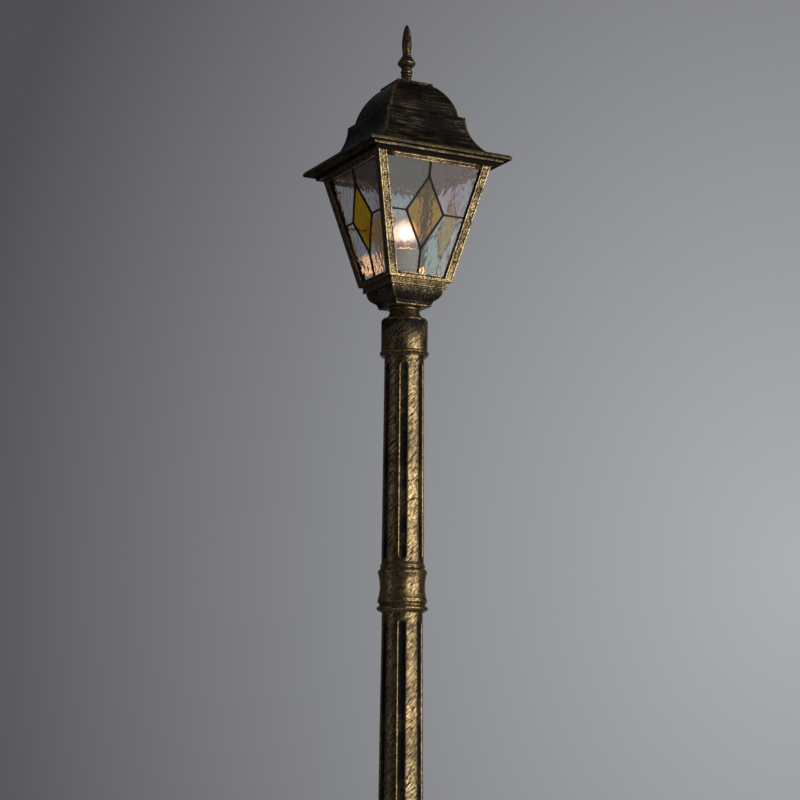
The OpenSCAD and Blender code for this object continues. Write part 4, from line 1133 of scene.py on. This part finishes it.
# The left panel's darker glass is painted shade.
LEFT_PANEL_PAINTED_SHADE = {"top_left": "grey", "top_right": "grey", "low_left": "grey", "low_right": "grey",
              "amber": "yellow"}
SWAPS = {"front": {}, "right": CLEAR_PANEL, "back": CLEAR_PANEL, "left": LEFT_PANEL_PAINTED_SHADE}
rng = np.random.default_rng(7)
for k, side in enumerate(SIDES):
    for label, (left, right) in pane_pieces().items():
        part = lifted(glass_piece(k, left, right, rng), Z_FRAME)
        slot = "amber_glass" if label == "amber" else "clear_glass"
        make_piece(f"glass_{side}_{label}", [part], GLASS[SWAPS[side].get(label, label)],
                   replaces=[f"{slot}_{side}"])

# %% [markdown]
# ## The lamp holder
#
# A porcelain holder stands on the threaded stem. It is turned on a wheel and
# glazed, and its side has four shallow grooves for grip. One closed outline makes the
# body, the grooves and the well that the bulb's cap screws into.

# %% Turn the holder
Z_HOLDER = low_mm("holder_body")
holder = [[5.1, 0], [15, 0], [16.5, 1.5], [16.5, 17], [19, 22]]
for i in range(4):
    holder += [[19, 25 + 5 * i], [18.4, 25.6 + 5 * i], [18.4, 26.6 + 5 * i], [19, 27.2 + 5 * i]]
holder += [[19, 50.4], [17.5, 52], [15, 52], [15, 24], [2.6, 24], [2.6, 4.9], [5.1, 4.9]]


def plain(name, colour, metallic, rough, scale=200.0, darker=None):
    """A simple finish with a fine variation of tone, shine and height."""
    mat, tree, shader, coords = base_material(name)
    grain = cloud(tree, coords, scale, 3.0, 0.6)
    darker = darker or tuple(c * 0.78 for c in colour)
    wire(tree, shader, {"Base Color": blend(tree, ramp(tree, grain, 0.3, 0.7), darker + (1,), colour + (1,)),
                        "Roughness": ramp(tree, grain, 0.3, 0.7, rough * 1.2, rough * 0.85),
                        "Metallic": metallic})
    relief(tree, shader, grain, 0.3, 0.0002)
    return mat


# The holder's porcelain is white; its mid grey colour here is painted shade, for the holder standing in shade
# inside the lantern.
PORCELAIN_IN_PAINTED_SHADE = plain("porcelain", (0.38, 0.37, 0.36), 0.0, 0.35)
BRASS = plain("plain_brass", (0.75, 0.58, 0.28), 1.0, 0.3)
ZINC = plain("zinc_plate", (0.60, 0.60, 0.58), 1.0, 0.38, 400.0)
DARK_STEEL = plain("blackened_steel", (0.10, 0.075, 0.05), 0.6, 0.42, 600.0, (0.03, 0.025, 0.02))
RUBBER = plain("cable_rubber", (0.03, 0.03, 0.03), 0.0, 0.6)
PLASTIC = plain("terminal_plastic", (0.80, 0.80, 0.77), 0.0, 0.35)
NICKEL = plain("bulb_cap_metal", (0.70, 0.68, 0.62), 1.0, 0.3)

make_piece("porcelain_holder", [lifted(turned(holder, 0.3, 64), Z_HOLDER)], PORCELAIN_IN_PAINTED_SHADE,
           replaces=["holder_body"])

# %% [markdown]
# ## A screw cap and a frosted globe
#
# The cap is pressed sheet metal with a rolled thread. It could be a carved helix;
# here the radius follows a wave that climbs one pitch for each turn, which keeps the
# grid plain. The globe is two turned shells, and its material carries a painted glow
# that shines by itself, so it looks lit through the rippled panes without a lamp
# inside it.

# %% Thread the bulb's cap and blow its globe
Z_BULB, CAP_L, CAP_R = low_mm("bulb_cap"), 24.5, 13.2
GLOBE_R = 22.5
GLOBE_Z = high_mm("bulb_glass") - GLOBE_R


def threaded_cap(pitch=3.6, depth=0.55, around=64):
    """Radius CAP_R - depth (0.5 - 0.5 cos(angle - 2 pi z / pitch)) along the cap; rows
    run from the contact at its foot to the rim."""
    z = np.concatenate([[0, 0, 1.2, 3, 5.2], np.linspace(6.2, 21.4, 44), [23, 24.3, CAP_L]])
    r = np.concatenate([[2.5, 4, 4.6, 9, 12.0], np.full(44, CAP_R), [12.9, 12.6, 12.0]])
    a = full_turn(around)
    on = ((z > 6) & (z < 22)).astype(float)[:, None]
    groove = depth * (0.5 - 0.5 * np.cos(a[None] - 2 * np.pi * z[:, None] / pitch))
    grid = round_grid(r[:, None] - on * groove, a, z[:, None])
    return *with_poles(grid, 0, CAP_L), 0.0


make_piece("threaded_bulb_cap", [lifted(threaded_cap(), Z_BULB)], NICKEL, body="bulb",
           replaces=["bulb_cap"])


def globe_outline(grow):
    """From the neck over the globe to the crown, moved in by grow millimetres."""
    centre = GLOBE_Z - Z_BULB
    t = np.radians(np.linspace(-52, 90, 40))
    ball = np.stack([(GLOBE_R - grow) * np.cos(t), centre + (GLOBE_R - grow) * np.sin(t)], -1)
    ball[-1, 0] = 0
    neck = np.array([[11.5 - grow, CAP_L - 2.8 + grow], [11.5 - grow, CAP_L + 2]])
    return np.vstack([[[0, CAP_L - 2.8 + grow]], neck, ball])


globe = turned_solid(globe_outline(0.0), 0.8, 72)
inner = turned_solid(globe_outline(0.9), 0.8, 72)
inner = (inner[0], [f[:, ::-1] for f in inner[1]], inner[2])

PAINTED_HALO_DIM, PAINTED_HALO_BRIGHT = (0.012, 0.010, 0.009, 1), (0.150, 0.105, 0.078, 1)
PAINTED_GLOW_CORE, PAINTED_REFLECTION_CORE = (1.0, 0.58, 0.24, 1), (1.3, 0.58, 0.14, 1)


def painted_bulb_glow():
    """Painted glow of frosted glass round a lit wire. With c as how squarely the glass is
    seen, the colour is a painted halo that grows as c^3 and a small white-hot middle that
    grows as c^36. A mirror image of the bulb is painted nine times brighter and its
    middle wider (c^3), as the panes show it. The painted glow fades out towards the neck."""
    mat, tree, shader, coords = base_material("frosted_bulb_painted_glow")
    grain = cloud(tree, coords, 900.0, 1.0)
    edge = put(tree, "ShaderNodeLayerWeight", {"Blend": 0.5}).outputs["Facing"]
    square = calc(tree, "SUBTRACT", 1.0, edge, clamp=True)
    path = tree.nodes.new("ShaderNodeLightPath").outputs
    mirrored = calc(tree, "SUBTRACT", path["Is Glossy Ray"], path["Is Transmission Ray"], clamp=True)
    halo = blend(tree, calc(tree, "POWER", square, 3.0), PAINTED_HALO_DIM, PAINTED_HALO_BRIGHT)
    middle = calc(tree, "POWER", square, calc(tree, "MULTIPLY_ADD", mirrored, -33.0, 36.0))
    colour = blend(tree, middle, halo, blend(tree, mirrored, PAINTED_GLOW_CORE, PAINTED_REFLECTION_CORE))
    level = put(tree, "ShaderNodeSeparateXYZ", {0: coords}).outputs[2]
    lit = ramp(tree, level, (GLOBE_Z - 20) * MM, (GLOBE_Z - 10) * MM, 0.04, 1.0)
    # Mirror rays see the bulb nine times brighter: a painted reflection.
    painted_glow_boost = calc(tree, "MULTIPLY", lit, calc(tree, "MULTIPLY_ADD", mirrored, 8.0, 1.0))
    shown = put(tree, "ShaderNodeVectorMath", {0: colour, "Scale": painted_glow_boost}, operation="SCALE")
    wire(tree, shader, {"Base Color": (0.22, 0.20, 0.19, 1), "Emission Color": shown.outputs[0],
                        "Emission Strength": 12.0, "Roughness": ramp(tree, grain, 0.3, 0.7, 0.40, 0.50)})
    return mat


make_piece("bulb_globe", [lifted(globe, Z_BULB), lifted(inner, Z_BULB)], painted_bulb_glow(), body="bulb",
           replaces=["bulb_glass"])

# %% [markdown]
# ## The glowing wire
#
# The wire is a coil on two supports. A coil is a circle carried along a circle: its
# points follow a helix, and a small round section follows the helix. It glows a little
# hotter in its middle than at its ends, where the supports cool it.

# %% Wind the coil
def tube_along(path, radius, sides=10):
    """A round tube round a path of points, with flat ends. The section is spanned by
    two directions at right angles to the path."""
    ahead = np.gradient(path, axis=0)
    ahead /= np.linalg.norm(ahead, axis=1, keepdims=True)
    ref = np.where(np.abs(ahead[:, 2:]) > 0.9, [[1.0, 0, 0]], [[0, 0, 1.0]])
    one = np.cross(ref, ahead)
    one /= np.linalg.norm(one, axis=1, keepdims=True)
    two = np.cross(ahead, one)
    a = full_turn(sides)
    ring = one[:, None] * np.cos(a)[None, :, None] + two[:, None] * np.sin(a)[None, :, None]
    return path[:, None] + radius * ring, capped_faces(len(path), sides), 0.0


def glow(name, hot, cooler, strength):
    """A glowing wire whose colour goes from hot to cooler as it leaves the axis."""
    mat, tree, shader, coords = base_material(name)
    grain = cloud(tree, coords, 900.0, 2.0)
    level = vector_math(tree, "MULTIPLY", coords, (1.0, 1.0, 0.0)).outputs[0]
    reach = vector_math(tree, "LENGTH", level).outputs["Value"]
    wire(tree, shader, {"Base Color": blend(tree, grain, (0.70, 0.60, 0.42, 1), (0.88, 0.78, 0.56, 1)),
                        "Emission Color": blend(tree, ramp(tree, reach, 3.5 * MM, 6.5 * MM), hot, cooler),
                        "Emission Strength": strength})
    return mat


GLOW = glow("glowing_wire", (1.0, 0.80, 0.52, 1), (0.80, 0.50, 0.24, 1), 90.0)
MOUNT_GLASS = plain("bulb_mount", (0.75, 0.75, 0.72), 0.0, 0.2)
COIL_HALF, COIL_TURNS = 6.2, 9
RISE = GLOBE_Z - Z_BULB - 3.4
t = np.linspace(0, 1, 160)
wound = 2 * np.pi * COIL_TURNS * t
coil = np.stack([-COIL_HALF + 2 * COIL_HALF * t, np.cos(wound), RISE + np.sin(wound)], -1)
make_piece("glowing_coil", [lifted(tube_along(coil, 0.42), Z_BULB)], GLOW, body="bulb",
           replaces=["bulb_filament"])
mount = turned_solid([[0, 22.4], [4, 22.4], [3.6, 28], [2.2, 33], [1.6, 34.6], [0, 34.6]], 0.3, 32)
bends = np.array([[1.2, 0, 33.5], [3.4, 0, RISE - 6], [COIL_HALF, 0, RISE]])
wires = [tube_along(bends * [sign, 1, 1], 0.3, 8) for sign in (-1, 1)]
make_piece("bulb_mount_wires", [lifted(part, Z_BULB) for part in [mount] + wires], MOUNT_GLASS,
           body="bulb")

# %% [markdown]
# ## Screws that show
#
# A slotted round-head screw on each side of the skirt holds the roof. The head is a
# low dome cut by a slot. The dome's height falls with the square of the radius, and
# the slot is where the distance from the middle line is small.

# %% Make the roof screws
def slotted_head(radius=3.8, height=2.6, slot=0.55, deep=1.1):
    """Grid in rings: z = height (1 - 0.55 (r/R)^2), less the slot's depth. It stands
    on a short pointed shank that goes back into the skirt."""
    r = np.concatenate([[0.05], np.linspace(0.3, 3.4, 16), [3.6, 3.75, 3.8, 3.8, 2.0, 2.0]])
    z = np.concatenate([height - 1.43 * (r[:20] / radius) ** 2, [0.9, 0, 0]])
    a = full_turn(72)
    aside = np.abs(r[:, None] * np.sin(a))
    top = (np.arange(len(r)) < 18)[:, None]
    cut = deep * top / (1 + np.exp((aside - slot) / 0.06))
    grid = round_grid(r[:, None], a, z[:, None] - cut)[::-1]
    return *with_poles(grid, -3.0, height - deep), 0.4


for side, sign in (("right", 1), ("left", -1)):
    low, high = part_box("roof_screw_" + side)
    z = (low[2] + high[2]) / 2 / MM
    turn = Matrix.Translation((sign * 96.05, 0, z)) @ Matrix.Rotation(sign * math.pi / 2, 4, "Y")
    make_piece("roof_screw_head_" + side, [placed(slotted_head(), turn)], DARK_STEEL, body="screw_" + side,
               replaces=["roof_screw_" + side])

# %% [markdown]
# ## Pieces that keep their CAD shape
#
# Nuts, washers, clips, screws, the stem, the cable and the terminal block are already
# right. They only need a finish in place of the plain CAD colour.

# %% Finish the CAD pieces
FINISHES = {
    "collar_grub_screws": DARK_STEEL, "cup_screws": ZINC, "clip_screws": ZINC, "pane_clips": BRASS,
    "finial_nut": ZINC, "finial_washer": ZINC, "threaded_stem": ZINC, "stem_nuts": ZINC,
    "stem_spacer": ZINC, "holder_shell": BRASS, "holder_contact": BRASS, "post_cable": RUBBER,
    "terminal_block": PLASTIC, "terminal_screws": BRASS, "terminal_bracket": ZINC,
    "bracket_screws": ZINC, "earth_screw": BRASS,
}
for node, material in FINISHES.items():
    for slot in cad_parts[node].material_slots:
        slot.material = material
print(len(FINISHES), "CAD pieces finished")

# %% [markdown]
# ## The floor
#
# The lamp stands on a plain pale floor, which could be a large slab. A disc that fades
# out into the background shows no edge from any side, and still catches the shadow at
# the foot of the post.

# %% Lay the floor
bpy.ops.mesh.primitive_circle_add(vertices=128, radius=1.5, fill_type="NGON", location=(0, 0, -0.0004))
floor = bpy.context.object
floor.name = "studio_floor"
floor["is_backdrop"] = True
floor_mat, tree, shader, coords = base_material("pale_floor")
pale = blend(tree, cloud(tree, coords, 6.0, 4.0), (0.66, 0.66, 0.67, 1), (0.74, 0.74, 0.75, 1))
wire(tree, shader, {"Base Color": pale, "Emission Color": pale, "Emission Strength": 0.17, "Roughness": 0.75})
fade = ramp(tree, vector_math(tree, "LENGTH", coords).outputs["Value"], 0.5, 1.3)
clear = tree.nodes.new("ShaderNodeBsdfTransparent").outputs[0]
faded = shader_mix(tree, fade, shader.outputs[0], clear)
wire(tree, node_of(tree, "OUTPUT_MATERIAL"), {"Surface": faded})
floor.data.materials.append(floor_mat)

# %% [markdown]
# ## The camera
#
# The photo was taken from 2.7 metres away with the camera at elbow height, looking up.
# Azimuth, height, tilt, roll and focal length were fitted to the lantern's corners, so
# they stand here as plain numbers. The same numbers say where a point lands in the
# picture, and where the near eave corner lands is printed.

# %% Set the camera as the photo's was
def standing(across, up, back, spot):
    """A matrix with three axes and a place as its columns."""
    columns = np.column_stack([across, up, back, spot])
    return Matrix(np.vstack([columns, [0, 0, 0, 1]]).tolist())


CAM_AZ, CAM_UP, CAM_ROLL = -27.765, 9.85, 0.48
CAM_DIST, CAM_Z = 2.6836, 1.1868
FOCAL_PX, FRAME_PX, POST_PX = 1961.1, 800, 404.0
MIDDLE_PX = FRAME_PX / 2
cam_data = bpy.data.cameras.new("camera")
cam_data.sensor_width = 36.0
cam_data.lens = 36.0 * FOCAL_PX / FRAME_PX
camera = bpy.data.objects.new("camera", cam_data)
bpy.context.scene.collection.objects.link(camera)
bpy.context.scene.camera = camera
az, up = math.radians(CAM_AZ), math.radians(CAM_UP)
yaw = az + math.atan((POST_PX - MIDDLE_PX) / FOCAL_PX)
ahead = np.array([-math.sin(yaw) * math.cos(up), math.cos(yaw) * math.cos(up), math.sin(up)])
right = np.array([math.cos(yaw), math.sin(yaw), 0.0])
above = np.cross(right, ahead)
cos_roll, sin_roll = math.cos(math.radians(CAM_ROLL)), math.sin(math.radians(CAM_ROLL))
right, above = right * cos_roll + above * sin_roll, above * cos_roll - right * sin_roll
eye = np.array([CAM_DIST * math.sin(az), -CAM_DIST * math.cos(az), CAM_Z])
camera.matrix_world = standing(right, above, -ahead, eye)


def pixel(point):
    """Where a point in metres lands in the 800 by 800 picture."""
    d = np.array(point) - eye
    depth = d @ ahead
    return MIDDLE_PX + FOCAL_PX * (d @ right) / depth, MIDDLE_PX - FOCAL_PX * (d @ above) / depth


print("near eave corner lands at", [round(v, 1) for v in pixel((-0.11, -0.11, Z_SEAT * MM + 0.007))])


# %% [markdown]
# ## Three soft lamps
#
# The photo's light is one wide soft source to the right of the camera, at the height
# of the upper post: it draws the broad bright band down the tubes and fades towards the
# roof. A weak lamp fills the left side, and a small one above picks out the top edges.
# Large area lamps give the soft ends that small ones would not.

# %% Hang the lamps
def hide_behind_glass(data):
    """The camera does not see a lamp straight through the lantern either: its strength
    is 0 for a ray that went through both panes and was never mirrored, else 1."""
    data.use_nodes = True
    tree = data.node_tree
    path = tree.nodes.new("ShaderNodeLightPath").outputs
    straight = calc(tree, "LESS_THAN", path["Glossy Depth"], 0.5)
    beyond = calc(tree, "GREATER_THAN", path["Transmission Depth"], 2.5)
    hidden = calc(tree, "MULTIPLY", beyond, straight)
    wire(tree, node_of(tree, "EMISSION"), {"Strength": calc(tree, "SUBTRACT", 1.0, hidden)})


def soft_lamp(name, azimuth, distance, height, width, tall, radiance, colour, aim=1.25):
    """An area lamp at an azimuth seen from the post, aimed at it. Its power is
    radiance * pi * area, so the lamp's own brightness stays what is asked for."""
    data = bpy.data.lights.new(name, "AREA")
    data.shape, data.size, data.size_y = "RECTANGLE", width, tall
    data.energy = radiance * math.pi * width * tall
    data.color = colour
    lamp = bpy.data.objects.new(name, data)
    bpy.context.scene.collection.objects.link(lamp)
    a = math.radians(azimuth)
    spot = np.array([distance * math.sin(a), -distance * math.cos(a), height])
    back = spot - np.array([0, 0, aim])
    back /= np.linalg.norm(back)
    side = np.cross([0, 0, 1], back)
    side /= np.linalg.norm(side)
    lamp.matrix_world = standing(side, np.cross(back, side), back, spot)
    lamp.visible_camera = False
    hide_behind_glass(data)


soft_lamp("key_lamp", 27.0, 2.1, 1.55, 2.4, 1.5, 1.7, (1.0, 0.95, 0.88), aim=1.5)
soft_lamp("fill_lamp", -95.0, 3.2, 1.6, 1.6, 2.4, 0.12, (0.94, 0.96, 1.0))
soft_lamp("top_lamp", 50.0, 1.8, 3.2, 1.0, 1.0, 0.5, (1.0, 0.95, 0.88), aim=1.9)

# %% [markdown]
# ## The background
#
# Behind the real lamp is a grey wall that lightens in a round glow at the right. A wall
# could be built, but it would stand in the way of other views. Here the world's colour
# follows the angle from the glow, and the Light Path node shows it to the camera and
# through glass, a darker room to mirrors, and a weak even fill to all else.

# %% Paint the background
world = bpy.data.worlds.new("studio")
bpy.context.scene.world = world
world.use_nodes = True
tree = world.node_tree
tree.nodes.clear()
direction = tree.nodes.new("ShaderNodeTexCoord").outputs["Generated"]
GLOW_X, GLOW_Y, GLOW_REACH = 0.204, -0.082, 0.43
WALL_DARK, WALL_BRIGHT = (0.079, 0.079, 0.089, 1), (0.425, 0.433, 0.455, 1)
SIDE_GREY, ROOM_DARK = (0.24, 0.24, 0.25, 1), (0.022, 0.022, 0.024, 1)


def across(axis):
    """Dot product of the ray's direction with one of the camera's axes."""
    return vector_math(tree, "DOT_PRODUCT", direction, tuple(axis)).outputs["Value"]


aside = calc(tree, "SUBTRACT", across(right), GLOW_X)
raised = calc(tree, "MULTIPLY", calc(tree, "SUBTRACT", across(above), GLOW_Y), 0.8)
far = calc(tree, "SQRT", calc(tree, "ADD", calc(tree, "POWER", aside, 2.0), calc(tree, "POWER", raised, 2.0)))
reach = {"Value": far, "From Min": 0.0, "From Max": GLOW_REACH, "To Min": 1.0, "To Max": 0.0}
near = put(tree, "ShaderNodeMapRange", reach).outputs["Result"]
wall = blend(tree, near, WALL_DARK, WALL_BRIGHT)
facing = across(ahead)
grey = blend(tree, ramp(tree, facing, 0.80, 0.92), SIDE_GREY, wall)
room = blend(tree, ramp(tree, facing, 0.70, 0.97), ROOM_DARK, wall)
path = tree.nodes.new("ShaderNodeLightPath").outputs
seen, mirrored, fill = [
    put(tree, "ShaderNodeBackground", {"Color": colour, "Strength": strength}).outputs[0]
    for colour, strength in ((grey, 1.0), (room, 1.0), ((0.90, 0.93, 1.0, 1), 0.08))]
unseen = shader_mix(tree, path["Is Glossy Ray"], fill, mirrored)
straight = calc(tree, "MAXIMUM", path["Is Camera Ray"], path["Is Transmission Ray"])
put(tree, "ShaderNodeOutputWorld", {"Surface": shader_mix(tree, straight, unseen, seen)})
bpy.context.scene.view_settings.view_transform = "Standard"
print("studio ready")

# %% [markdown]
# ## The box at the end
#
# The dressed lamp must be as large as the CAD one: paint and glass add nothing to its
# size. The visual box is printed at the end of the run.

# %% Print the visual box
low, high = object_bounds()
print("visual box in metres:", [round(v, 4) for v in low], [round(v, 4) for v in high])
